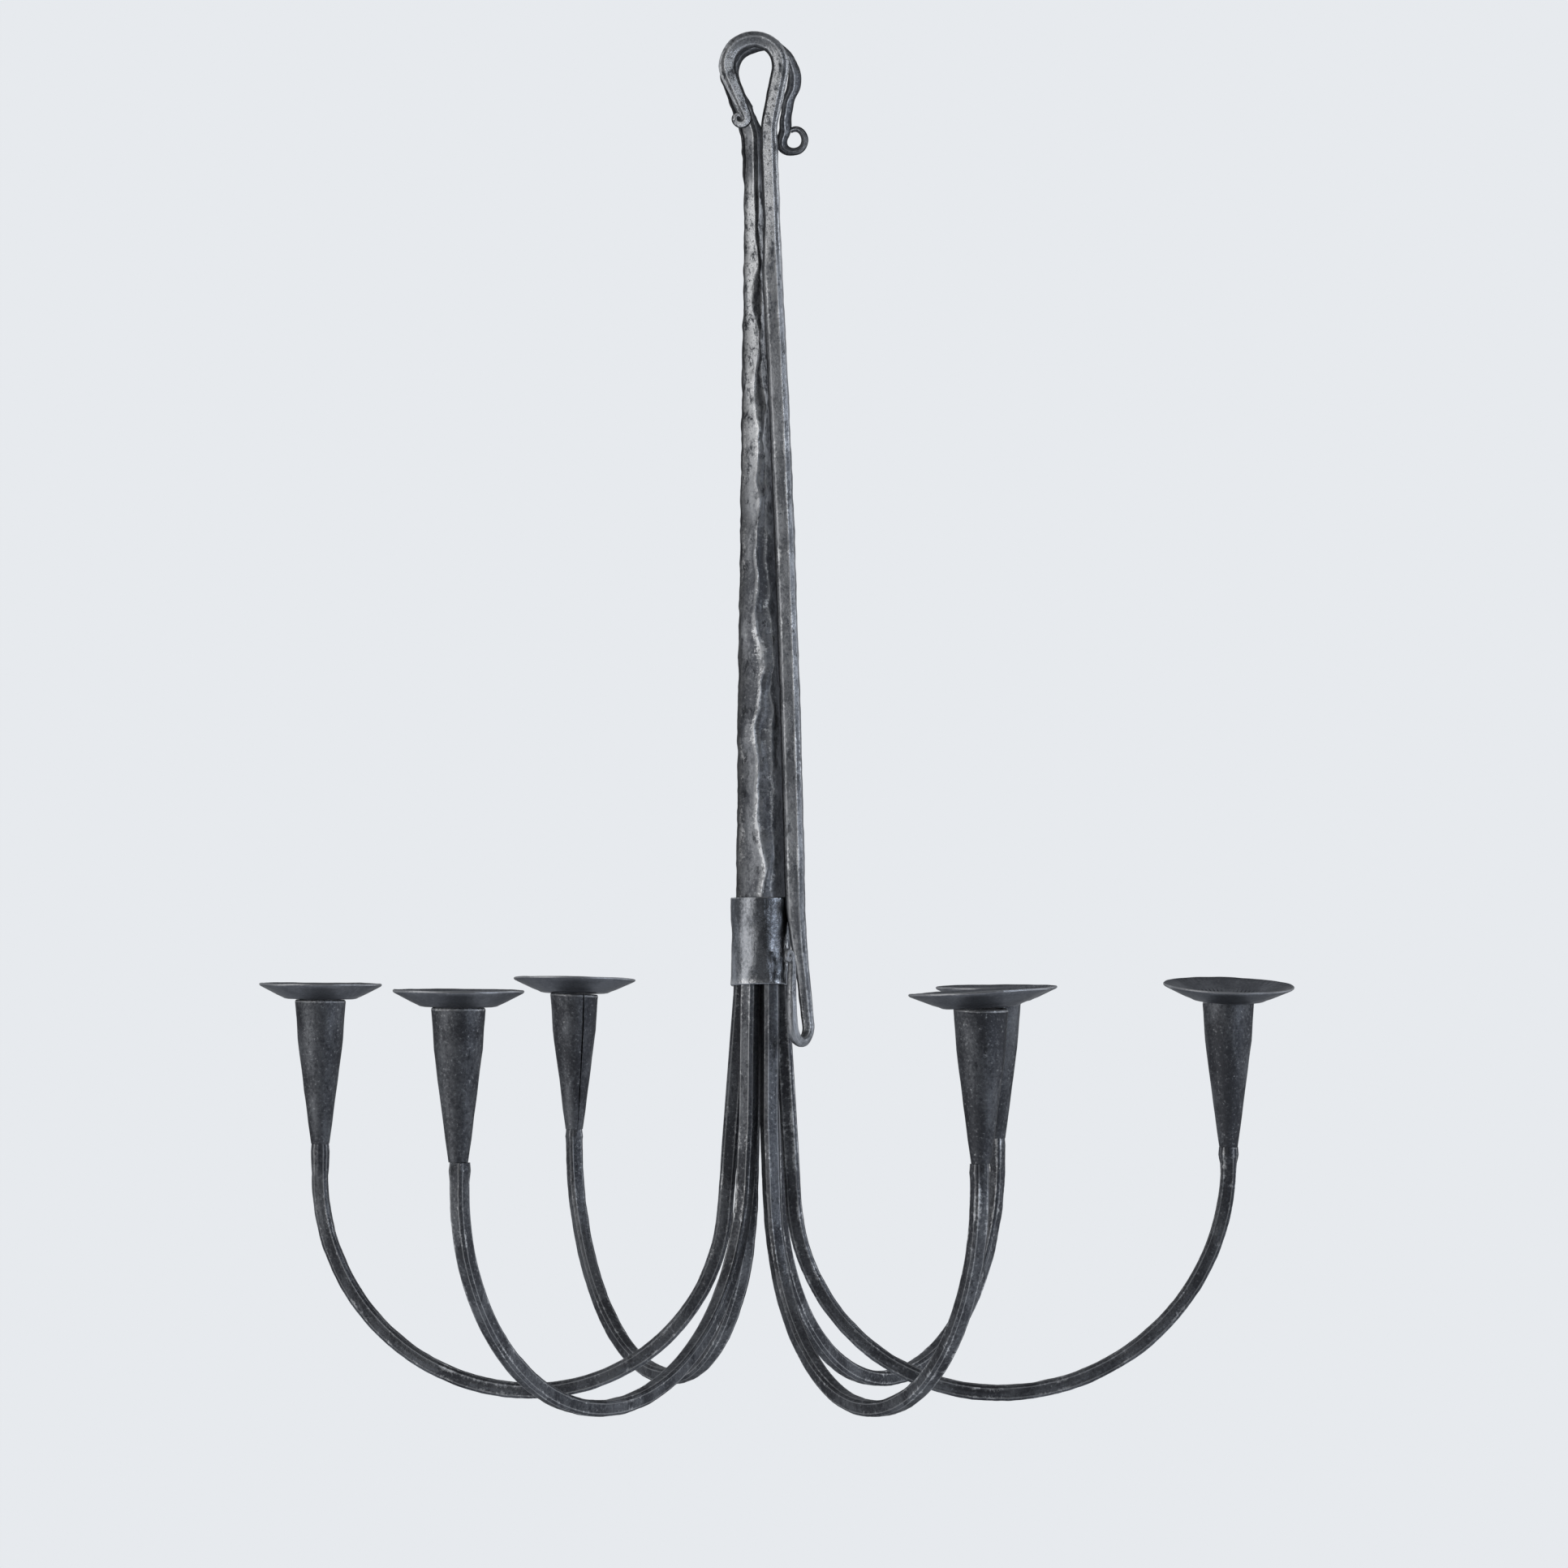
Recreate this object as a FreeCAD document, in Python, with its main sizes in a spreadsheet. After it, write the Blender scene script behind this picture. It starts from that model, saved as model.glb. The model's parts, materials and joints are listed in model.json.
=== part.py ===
import FreeCAD, Part
import math
import os

import Sketcher

# Wrought iron chandelier: a hooked stem, six bent arms bound by a collar, a rolled socket and a
# loose drip pan on each arm, and a hanger rod that lengthens the drop.
# Millimetres, +Z up. The origin is the inside top of the stem's hook, where the chandelier hangs.
# +X is to the right and -Y towards the viewer. Heights are given as drops below the origin.

SIZES = {
    # Arm bars: square iron with flattened edges, packed in a ring around the stem's core
    "arm_bar": 8.2,
    "arm_edge": 1.45,
    "bundle_play": 0.15,
    "splay_bend": 60.0,
    "spigot_radius": 2.5,
    "spigot_length": 12.0,
    # Direction in plan of the first arm in the bundle, in degrees from +X towards +Y
    "bundle_direction": 55.4,
    # Swing of each arm in plan, away from its place in the bundle, in degrees
    "swing_1": -1.6,
    "swing_2": -1.9,
    "swing_3": 0.15,
    "swing_4": 1.3,
    "swing_5": 1.3,
    "swing_6": 0.9,
    # Distance of each socket's axis from the middle
    "reach_1": 228.5,
    "reach_2": 243.0,
    "reach_3": 239.0,
    "reach_4": 235.0,
    "reach_5": 231.0,
    "reach_6": 238.0,
    # Radius of each arm's inner bend
    "bend_1": 100.5,
    "bend_2": 112.0,
    "bend_3": 103.0,
    "bend_4": 103.0,
    "bend_5": 105.0,
    "bend_6": 103.5,
    # Drop of each arm's lowest point, in the middle of the bar
    "low_drop_1": 687.5,
    "low_drop_2": 686.5,
    "low_drop_3": 687.5,
    "low_drop_4": 686.5,
    "low_drop_5": 688.0,
    "low_drop_6": 687.0,
    # Shortest level run between an arm's bends, and shortest upright run below its socket
    "level_run": 1.0,
    "upright_run": 4.0,
    # Outward lean of each arm below the collar, in degrees
    "splay_1": 4.4,
    "splay_2": 2.9,
    "splay_3": 2.5,
    "splay_4": 1.8,
    "splay_5": 2.6,
    "splay_6": 3.5,
    # Collar: a band wrapped round the bundle and the stem's foot
    "collar_drop": 435.0,
    "collar_height": 45.0,
    "collar_wall": 1.3,
    "collar_play": 0.1,
    "collar_waist": 0.5,
    "collar_cover": 8.0,
    # Stem: square bar that tapers from the collar to the neck under the hook
    "stem_foot": 22.8,
    "stem_waist": 21.6,
    "stem_middle": 15.3,
    "stem_neck": 8.0,
    "stem_root": 8.0,
    "stem_edge_share": 0.2,
    "stem_turn": 33.0,
    "waist_drop": 340.0,
    "middle_drop": 205.0,
    "neck_drop": 62.0,
    "root_drop": 46.0,
    "foot_offset": -0.15,
    "neck_offset": 4.0,
    "root_offset": 4.2,
    "core_play": 0.15,
    # Stem's hook
    "hook_bar": 5.2,
    "hook_edge": 1.0,
    "hook_radius": 15.6,
    "hook_lean": 21.5,
    "hook_heel_bend": 14.0,
    "hook_tip_lean": 12.0,
    "hook_tip_run": 29.0,
    "scroll_outer": 6.4,
    "scroll_inner": 4.3,
    "scroll_tip": 2.4,
    # Candle sockets: hollow cones with an open seam on the inner side
    "socket_length": 74.0,
    "socket_rim_wall": 2.0,
    "socket_draw": 1.3,
    "socket_waist_depth": 20.0,
    "socket_foot_radius": 4.9,
    "socket_wall": 1.2,
    "socket_floor_depth": 52.0,
    "candle_bore_radius": 11.2,
    "candle_bore_depth": 12.0,
    "seam_width": 0.6,
    "spigot_play": 0.1,
    # Drop of each socket's rim
    "rim_drop_1": 487.5,
    "rim_drop_2": 487.5,
    "rim_drop_3": 487.5,
    "rim_drop_4": 487.5,
    "rim_drop_5": 491.5,
    "rim_drop_6": 487.5,
    # Drip pans: shallow dished discs that rest on the sockets
    "pan_radius_1": 31.5,
    "pan_radius_2": 31.5,
    "pan_radius_3": 33.3,
    "pan_radius_4": 34.2,
    "pan_radius_5": 33.0,
    "pan_radius_6": 33.3,
    "pan_rise": 7.0,
    "pan_sheet": 1.2,
    "pan_seat_width": 5.0,
    "pan_hole_play": 0.6,
    "pan_gap": 0.3,
    # Tilt of each pan and socket mouth, and the plan direction in which it dips, in degrees
    "tilt_1": 0.6,
    "tilt_2": 0.5,
    "tilt_3": 2.9,
    "tilt_4": 3.2,
    "tilt_5": 0.8,
    "tilt_6": 6.0,
    "dip_1": 20.0,
    "dip_2": -30.0,
    "dip_3": 68.0,
    "dip_4": 180.0,
    "dip_5": 240.0,
    "dip_6": -75.0,
    # Hanger rod: a straight bar with a closed hook on top and a J-hook at its foot
    "rod_bar": 7.9,
    "rod_edge": 2.0,
    "rod_gap": 0.5,
    "rod_hook_radius": 13.6,
    "rod_hook_offset": 3.8,
    "rod_neck_lean": 11.5,
    "rod_neck_run": 24.0,
    "rod_neck_bend": 45.0,
    "rod_rest_gap": 3.0,
    "rod_foot_drop": 499.6,
    "rod_tip_lean": 21.0,
    "rod_tip_run": 24.5,
    "rod_scroll_outer": 3.0,
    "rod_scroll_inner": 1.9,
    "rod_scroll_tip": 1.3,
    "j_turn": 60.0,
    "j_radius": 8.0,
    "j_strand_run": 32.6,
    "j_strand_bar": 4.6,
    "j_tip_run": 10.0,
    "j_scroll_outer": 2.7,
    "j_scroll_inner": 1.7,
    "j_scroll_tip": 1.2,
}

# The arms as they follow one another round the bundle
PLAN_ORDER = (5, 3, 1, 2, 4, 6)
UP = FreeCAD.Vector(0, 1, 0)
DOWN = -UP
NO_TURN = FreeCAD.Rotation()
HALF_TURN = FreeCAD.Rotation(FreeCAD.Vector(0, 1, 0), 180)

doc = FreeCAD.newDocument("Chandelier")
sheet = doc.addObject("Spreadsheet::Sheet", "Sizes")
for row, (alias, value) in enumerate(SIZES.items(), start=1):
    sheet.set(f"A{row}", alias)
    sheet.set(f"B{row}", str(value))
    sheet.setAlias(f"B{row}", alias)
doc.recompute()

# Worked-out sizes, as expressions of the sheet's cells
BUNDLE_RADIUS = "(Sizes.arm_bar / 2 * (1 + sqrt(3)) - Sizes.arm_edge + Sizes.bundle_play)"
CORE_RADIUS = f"({BUNDLE_RADIUS} - Sizes.arm_bar / 2 - Sizes.core_play)"
BUNDLE_CORNER = f"hypot({BUNDLE_RADIUS} + Sizes.arm_bar / 2; Sizes.arm_bar / 2 - Sizes.arm_edge)"
COLLAR_BORE = f"({BUNDLE_CORNER} + Sizes.collar_play)"
COLLAR_OUTSIDE = f"({COLLAR_BORE} + Sizes.collar_wall)"
ARM_TOP_DROP = "(Sizes.collar_drop + Sizes.collar_cover)"
STEM_TURN = "(Sizes.stem_turn * 1 deg)"
DEPTH_SHARE = f"((cos({STEM_TURN}) + sin({STEM_TURN})) / 2 - Sizes.stem_edge_share * sin({STEM_TURN}))"
HOOK_DEPTH = f"((Sizes.stem_root + Sizes.hook_bar) / 2 * {DEPTH_SHARE})"
ROD_FRONT = f"({HOOK_DEPTH} + Sizes.rod_gap + Sizes.rod_bar / 2)"
SOCKET_RIM = "(Sizes.candle_bore_radius + Sizes.socket_rim_wall)"
SOCKET_WAIST = f"({SOCKET_RIM} - Sizes.socket_draw)"


def size(expression):
    """Value of an expression of the sheet's cells."""
    return float(sheet.evalExpression(expression))


def bind(target, path, expression):
    """Ties a property of the target to the sheet."""
    target.setExpression(path, expression)


def new_body(label):
    body = doc.addObject("PartDesign::Body", label)
    body.Label = label
    return body


def new_sketch(body, name, role, offset=None):
    """Sketch on one of the body's own origin planes, moved by the offset."""
    sketch = body.newObject("Sketcher::SketchObject", name)
    plane = [part for part in body.Origin.OriginFeatures if part.Role == role][0]
    sketch.AttachmentSupport = [(plane, "")]
    sketch.MapMode = "FlatFace"
    if offset is not None:
        sketch.AttachmentOffset = offset
    return sketch


def constrain(sketch, name, expression, *constraint):
    """Adds a named dimension to the sketch and ties it to the sheet."""
    index = sketch.addConstraint(Sketcher.Constraint(*constraint))
    sketch.renameConstraint(index, name)
    bind(sketch, f"Constraints.{name}", expression)


def draw_bar_section(sketch, side, edge):
    """Square with flattened corners around the sketch's origin."""
    half = size(side) / 2
    flat = half - size(edge)
    corners = [(flat, -half), (half, -flat), (half, flat), (flat, half)]
    corners += [(-x, -y) for x, y in corners]
    points = [FreeCAD.Vector(x, y, 0) for x, y in corners]
    lines = []
    for start, end in zip(points, points[1:] + points[:1]):
        lines.append(sketch.addGeometry(Part.LineSegment(start, end)))
    for line, follower in zip(lines, lines[1:] + lines[:1]):
        sketch.addConstraint(Sketcher.Constraint("Coincident", line, 2, follower, 1))
    for line in lines[1::4]:
        sketch.addConstraint(Sketcher.Constraint("Vertical", line))
    for line in lines[3::4]:
        sketch.addConstraint(Sketcher.Constraint("Horizontal", line))
    for index, line in enumerate(lines[0::2]):
        start = points[2 * index]
        end = points[2 * index + 1]
        across = (line, 1, line, 2) if end.x > start.x else (line, 2, line, 1)
        upwards = (line, 1, line, 2) if end.y > start.y else (line, 2, line, 1)
        constrain(sketch, f"edge_x_{index}", edge, "DistanceX", *across, size(edge))
        constrain(sketch, f"edge_y_{index}", edge, "DistanceY", *upwards, size(edge))
    constrain(sketch, "width", side, "DistanceX", lines[5], 1, lines[1], 1, size(side))
    constrain(sketch, "height", side, "DistanceY", lines[7], 1, lines[3], 1, size(side))
    constrain(sketch, "half_width", f"{side} / 2", "DistanceX", -1, 1, lines[1], 1, half)
    constrain(sketch, "half_height", f"{side} / 2", "DistanceY", -1, 1, lines[3], 1, half)


def bar_section(body, name, side, edge, place, turn=0.0):
    """Horizontal cross-section of a bar, at a place given as x, y, z."""
    turned = FreeCAD.Rotation(FreeCAD.Vector(0, 0, 1), turn)
    sketch = new_sketch(body, name, "XY_Plane", FreeCAD.Placement(FreeCAD.Vector(*place), turned))
    draw_bar_section(sketch, side, edge)
    return sketch


def bent_line(body, name, place, way, steps, plane_turn=0.0):
    """Path of straight runs and tangent bends in an upright plane, as a smith would bend the bar.

    It starts at the place and goes UP or DOWN. A run is its length. A bend is its radius, its
    angle and its side, +1 to the left of the way it is going and -1 to the right. The plane is
    the XZ plane, turned about the upright line through the place. Returns the sketch and the
    place of the path's end."""
    turned = FreeCAD.Rotation(FreeCAD.Vector(0, 1, 0), plane_turn)
    x, y, z = place
    offset = FreeCAD.Placement(FreeCAD.Vector(x, z, -y), turned)
    sketch = new_sketch(body, name, "XZ_Plane", offset)
    here = FreeCAD.Vector(0, 0, 0)
    heading = math.degrees(math.atan2(way.y, way.x))
    before = None
    for index, step in enumerate(steps):
        ahead = FreeCAD.Vector(math.cos(math.radians(heading)), math.sin(math.radians(heading)), 0)
        if len(step) == 1:
            there = here + ahead * size(step[0])
            piece = sketch.addGeometry(Part.LineSegment(here, there))
            entry, leave = 1, 2
        else:
            radius, angle, side = size(step[0]), size(step[1]), step[2]
            centre = here + FreeCAD.Vector(-ahead.y, ahead.x, 0) * radius * side
            start = heading - 90.0 * side
            end = start + angle * side
            circle = Part.Circle(centre, FreeCAD.Vector(0, 0, 1), radius)
            low, high = sorted((math.radians(start), math.radians(end)))
            piece = sketch.addGeometry(Part.ArcOfCircle(circle, low, high))
            entry, leave = (1, 2) if side > 0 else (2, 1)
            outwards = FreeCAD.Vector(math.cos(math.radians(end)), math.sin(math.radians(end)), 0)
            there = centre + outwards * radius
            heading = heading + angle * side
        if before is None:
            sketch.addConstraint(Sketcher.Constraint("Coincident", piece, entry, -1, 1))
            upright = ("Vertical", piece) if len(step) == 1 else ("Horizontal", piece, 3, piece, entry)
            sketch.addConstraint(Sketcher.Constraint(*upright))
        else:
            sketch.addConstraint(Sketcher.Constraint("Tangent", *before, piece, entry))
        if len(step) == 1:
            constrain(sketch, f"run_{index}", step[0], "Distance", piece, size(step[0]))
        else:
            constrain(sketch, f"radius_{index}", step[0], "Radius", piece, radius)
            constrain(sketch, f"turn_{index}", f"{step[1]} * 1 deg", "Angle", piece, math.radians(angle))
        before = (piece, leave)
        here = there
    end_x = x + here.x * math.cos(math.radians(plane_turn))
    end_y = y + here.x * math.sin(math.radians(plane_turn))
    return sketch, (end_x, end_y, z + here.y)


def sweep(body, name, section, path, end_section=None):
    """Bar along a path, drawn out to the end section if there is one."""
    pipe = body.newObject("PartDesign::AdditivePipe", name)
    pipe.Profile = section
    pipe.Spine = (path, [])
    if end_section is not None:
        pipe.Transformation = "Multisection"
        pipe.Sections = [end_section]
    return pipe


def draw_outline(sketch, points):
    """Closed outline through points given as expressions, none of them negative."""
    places = [FreeCAD.Vector(size(x), size(y), 0) for x, y in points]
    lines = []
    for start, end in zip(places, places[1:] + places[:1]):
        lines.append(sketch.addGeometry(Part.LineSegment(start, end)))
    for line, follower in zip(lines, lines[1:] + lines[:1]):
        sketch.addConstraint(Sketcher.Constraint("Coincident", line, 2, follower, 1))
    for index, (x, y) in enumerate(points):
        for axis, expression, letter in (("DistanceX", x, "x"), ("DistanceY", y, "y")):
            name = f"{letter}_{index}"
            constrain(sketch, name, expression, axis, -1, 1, lines[index], 1, size(expression))


def turned_body(label, points):
    """Body turned about the upright axis from an outline of radius and height."""
    body = new_body(label)
    sketch = new_sketch(body, "Outline", "XZ_Plane")
    draw_outline(sketch, points)
    turning = body.newObject("PartDesign::Revolution", "Turned")
    turning.Profile = sketch
    turning.ReferenceAxis = (sketch, ["V_Axis"])
    turning.Angle = 360.0
    return body


def upright_cylinder(body, name, radius, length, place, downwards=False):
    """Round pad of the body, upwards or downwards from the place."""
    sketch = new_sketch(body, f"{name}Circle", "XY_Plane", FreeCAD.Placement(FreeCAD.Vector(*place), NO_TURN))
    ring = Part.Circle(FreeCAD.Vector(0, 0, 0), FreeCAD.Vector(0, 0, 1), size(radius))
    circle = sketch.addGeometry(ring)
    sketch.addConstraint(Sketcher.Constraint("Coincident", circle, 3, -1, 1))
    constrain(sketch, "radius", radius, "Radius", circle, size(radius))
    pad = body.newObject("PartDesign::Pad", name)
    pad.Profile = sketch
    pad.Reversed = downwards
    bind(pad, "Length", length)


def slot_direction(number):
    """Plan direction of an arm's place in the bundle."""
    return f"(Sizes.bundle_direction + {PLAN_ORDER.index(number)} * 360 / {len(PLAN_ORDER)})"


def turn_about_upright(degrees):
    return FreeCAD.Rotation(FreeCAD.Vector(0, 0, 1), size(degrees))


def arm_rotation(number):
    return turn_about_upright(f"({slot_direction(number)} + Sizes.swing_{number})")


def socket_foot_drop(number):
    return f"(Sizes.rim_drop_{number} + Sizes.socket_length)"


def socket_axis(number, drop):
    """Point on the upright axis of an arm's socket."""
    slot = turn_about_upright(slot_direction(number)).multVec(FreeCAD.Vector(size(BUNDLE_RADIUS), 0, 0))
    beyond = FreeCAD.Vector(size(f"Sizes.reach_{number} - {BUNDLE_RADIUS}"), 0, 0)
    return slot + arm_rotation(number).multVec(beyond) - FreeCAD.Vector(0, 0, size(drop))


def mouth_rotation(number):
    """Tilt of an arm's socket mouth and drip pan."""
    dip = math.radians(size(f"Sizes.dip_{number}"))
    level_axis = FreeCAD.Vector(-math.sin(dip), math.cos(dip), 0)
    return FreeCAD.Rotation(level_axis, size(f"Sizes.tilt_{number}"))


def make_arm(number):
    """Bar that leaves the collar, leans out, runs down and up again, and ends in a spigot."""
    splay = f"(Sizes.splay_{number} * 1 deg)"
    bend = f"Sizes.bend_{number}"
    grip = "(Sizes.collar_height - Sizes.collar_cover)"
    low = f"(Sizes.low_drop_{number} - {ARM_TOP_DROP})"
    lean_drop = f"({low} - {grip} - Sizes.splay_bend * sin({splay}) - {bend} * (1 - sin({splay})))"
    lean_run = f"({lean_drop} / cos({splay}))"
    low_radius = (
        f"({BUNDLE_RADIUS} + Sizes.splay_bend * (1 - cos({splay})) + {lean_run} * sin({splay})"
        f" + {bend} * cos({splay}))"
    )
    across = f"(Sizes.reach_{number} - {low_radius})"
    rise = f"(Sizes.low_drop_{number} - {socket_foot_drop(number)})"
    rise_bend = f"min({across} - Sizes.level_run; {rise} - Sizes.upright_run)"
    body = new_body(f"arm_{number}")
    start = (size(BUNDLE_RADIUS), 0, 0)
    steps = [
        (grip,),
        ("Sizes.splay_bend", f"Sizes.splay_{number}", 1),
        (lean_run,),
        (bend, f"(90 - Sizes.splay_{number})", 1),
        (f"({across} - {rise_bend})",),
        (rise_bend, "90", 1),
        (f"({rise} - {rise_bend})",),
    ]
    path, tip = bent_line(body, "Path", start, DOWN, steps, size(f"Sizes.swing_{number}"))
    section = bar_section(body, "Section", "Sizes.arm_bar", "Sizes.arm_edge", start)
    sweep(body, "Bar", section, path)
    upright_cylinder(body, "Spigot", "Sizes.spigot_radius", "Sizes.spigot_length", tip)
    top = FreeCAD.Vector(0, 0, -size(ARM_TOP_DROP))
    body.Placement = FreeCAD.Placement(top, turn_about_upright(slot_direction(number)))
    return body


def make_socket(number):
    """Hollow cone with a round bore for the candle, a slanted mouth and an open seam."""
    length = "Sizes.socket_length"
    waist = f"({length} - Sizes.socket_waist_depth)"
    floor = f"({length} - Sizes.socket_floor_depth)"
    bore_end = f"({length} - Sizes.candle_bore_depth)"
    slope = f"(({SOCKET_WAIST} - Sizes.socket_foot_radius) / {waist})"
    floor_radius = f"(Sizes.socket_foot_radius + {slope} * {floor} - Sizes.socket_wall)"
    waist_inside = f"({SOCKET_WAIST} - Sizes.socket_wall)"
    spigot_hole = "(Sizes.spigot_radius + Sizes.spigot_play)"
    hole_depth = "(Sizes.spigot_length + Sizes.spigot_play)"
    spare = f"({SOCKET_RIM} * tan(Sizes.tilt_{number} * 1 deg) + Sizes.socket_wall)"
    raised = f"({length} + {spare})"
    points = [
        (spigot_hole, "0"),
        ("Sizes.socket_foot_radius", "0"),
        (SOCKET_WAIST, waist),
        (SOCKET_RIM, length),
        (SOCKET_RIM, raised),
        ("Sizes.candle_bore_radius", raised),
        ("Sizes.candle_bore_radius", bore_end),
        (waist_inside, waist),
        (floor_radius, floor),
        ("0", floor),
        ("0", hole_depth),
        (spigot_hole, hole_depth),
    ]
    body = turned_body(f"candle_socket_{number}", points)
    seam = new_sketch(body, "SeamOutline", "XZ_Plane", FreeCAD.Placement(FreeCAD.Vector(0, 0, 0), HALF_TURN))
    draw_outline(seam, [
        ("0", floor),
        (f"{SOCKET_RIM} * 2", floor),
        (f"{SOCKET_RIM} * 2", raised),
        ("0", raised),
    ])
    slot = body.newObject("PartDesign::Pocket", "Seam")
    slot.Profile = seam
    slot.SideType = "Symmetric"
    bind(slot, "Length", "Sizes.seam_width")
    mouth = body.newObject("PartDesign::SubtractiveBox", "Mouth")
    width = 4 * size(SOCKET_RIM)
    bind(mouth, "Length", f"{SOCKET_RIM} * 4")
    bind(mouth, "Width", f"{SOCKET_RIM} * 4")
    bind(mouth, "Height", f"{spare} * 4")
    tilt = arm_rotation(number).inverted() * mouth_rotation(number)
    tilt = tilt * arm_rotation(number)
    corner = FreeCAD.Vector(0, 0, size(length)) - tilt.multVec(FreeCAD.Vector(width / 2, width / 2, 0))
    mouth.Placement = FreeCAD.Placement(corner, tilt)
    body.Placement = FreeCAD.Placement(socket_axis(number, socket_foot_drop(number)), arm_rotation(number))
    return body


def make_pan(number):
    """Dished disc with a hole for the candle, resting on the socket's mouth."""
    rim = f"Sizes.pan_radius_{number}"
    hole = "(Sizes.candle_bore_radius + Sizes.pan_hole_play)"
    seat = f"({SOCKET_RIM} + Sizes.pan_seat_width)"
    sheet_rise = "(Sizes.pan_rise + Sizes.pan_sheet)"
    body = turned_body(f"drip_pan_{number}", [
        (hole, "0"),
        (seat, "0"),
        (rim, "Sizes.pan_rise"),
        (rim, sheet_rise),
        (seat, "Sizes.pan_sheet"),
        (hole, "Sizes.pan_sheet"),
    ])
    tilt = mouth_rotation(number)
    lift = tilt.multVec(FreeCAD.Vector(0, 0, size("Sizes.pan_gap")))
    body.Placement = FreeCAD.Placement(socket_axis(number, f"Sizes.rim_drop_{number}") + lift, tilt)
    return body


def make_collar():
    """Wrapped band with a slight waist."""
    middle = "(Sizes.collar_height / 2)"
    body = turned_body("collar", [
        (COLLAR_BORE, "0"),
        (COLLAR_OUTSIDE, "0"),
        (f"({COLLAR_OUTSIDE} - Sizes.collar_waist)", middle),
        (COLLAR_OUTSIDE, "Sizes.collar_height"),
        (COLLAR_BORE, "Sizes.collar_height"),
    ])
    bottom = size("Sizes.collar_drop + Sizes.collar_height")
    body.Placement = FreeCAD.Placement(FreeCAD.Vector(0, 0, -bottom), NO_TURN)
    return body


def make_stem():
    """Tapering square bar: a round core among the arms, a shoulder on them, a neck and a hook."""
    body = new_body("stem")
    turn = -size("Sizes.stem_turn")
    foot = size(ARM_TOP_DROP)
    waist = size("Sizes.waist_drop")
    lean = size("Sizes.neck_offset - Sizes.foot_offset") / (waist - size("Sizes.neck_drop"))
    stations = [
        ("Sizes.stem_foot", ARM_TOP_DROP),
        ("Sizes.stem_waist", "Sizes.waist_drop"),
        ("Sizes.stem_middle", "Sizes.middle_drop"),
        ("Sizes.stem_neck", "Sizes.neck_drop"),
    ]
    sections = []
    for index, (side, drop) in enumerate(stations):
        offset = size("Sizes.foot_offset") + lean * max(0, waist - size(drop))
        edge = f"{side} * Sizes.stem_edge_share"
        sections.append(bar_section(body, f"Taper{index}", side, edge, (-offset, 0, -size(drop)), turn))
    root = (-size("Sizes.root_offset"), 0, -size("Sizes.root_drop"))
    edge = "Sizes.stem_root * Sizes.stem_edge_share"
    sections.append(bar_section(body, "Root", "Sizes.stem_root", edge, root, turn))
    shaft = body.newObject("PartDesign::AdditiveLoft", "Shaft")
    shaft.Profile = sections[0]
    shaft.Sections = sections[1:]
    shaft.Ruled = True
    core_length = "(Sizes.collar_height - Sizes.collar_cover)"
    shoulder = (0, 0, -foot)
    upright_cylinder(body, "Core", CORE_RADIUS, core_length, shoulder, downwards=True)
    crown_drop = "(Sizes.hook_radius - Sizes.hook_bar / 2)"
    hook_lean = "(Sizes.hook_lean * 1 deg)"
    heel_drop = f"(Sizes.hook_heel_bend * sin({hook_lean}))"
    crown_fall = f"({crown_drop} + Sizes.hook_radius * sin({hook_lean}))"
    lean_run = f"((Sizes.root_drop - {heel_drop} - {crown_fall}) / cos({hook_lean}))"
    rising = [
        ("Sizes.hook_heel_bend", "Sizes.hook_lean", 1),
        (lean_run,),
        ("Sizes.hook_radius", "(180 + Sizes.hook_lean)", -1),
    ]
    hook_path, crown_end = bent_line(body, "HookPath", root, UP, rising)
    hook_start = bar_section(body, "HookStart", "Sizes.stem_root", edge, root, turn)
    hook_end = bar_section(body, "HookEnd", "Sizes.hook_bar", "Sizes.hook_edge", crown_end, turn)
    sweep(body, "Hook", hook_start, hook_path, hook_end)
    falling = [
        ("Sizes.hook_radius", "Sizes.hook_tip_lean", -1),
        ("Sizes.hook_tip_run",),
        ("Sizes.scroll_outer", "(180 + Sizes.hook_tip_lean)", 1),
        ("Sizes.scroll_inner", "180", 1),
    ]
    scroll_path, scroll_end = bent_line(body, "ScrollPath", crown_end, DOWN, falling)
    scroll_start = bar_section(body, "ScrollStart", "Sizes.hook_bar", "Sizes.hook_edge", crown_end, turn)
    tip_edge = "Sizes.scroll_tip * Sizes.stem_edge_share"
    scroll_tip = bar_section(body, "ScrollTip", "Sizes.scroll_tip", tip_edge, scroll_end, turn)
    sweep(body, "Scroll", scroll_start, scroll_path, scroll_tip)
    return body


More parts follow.
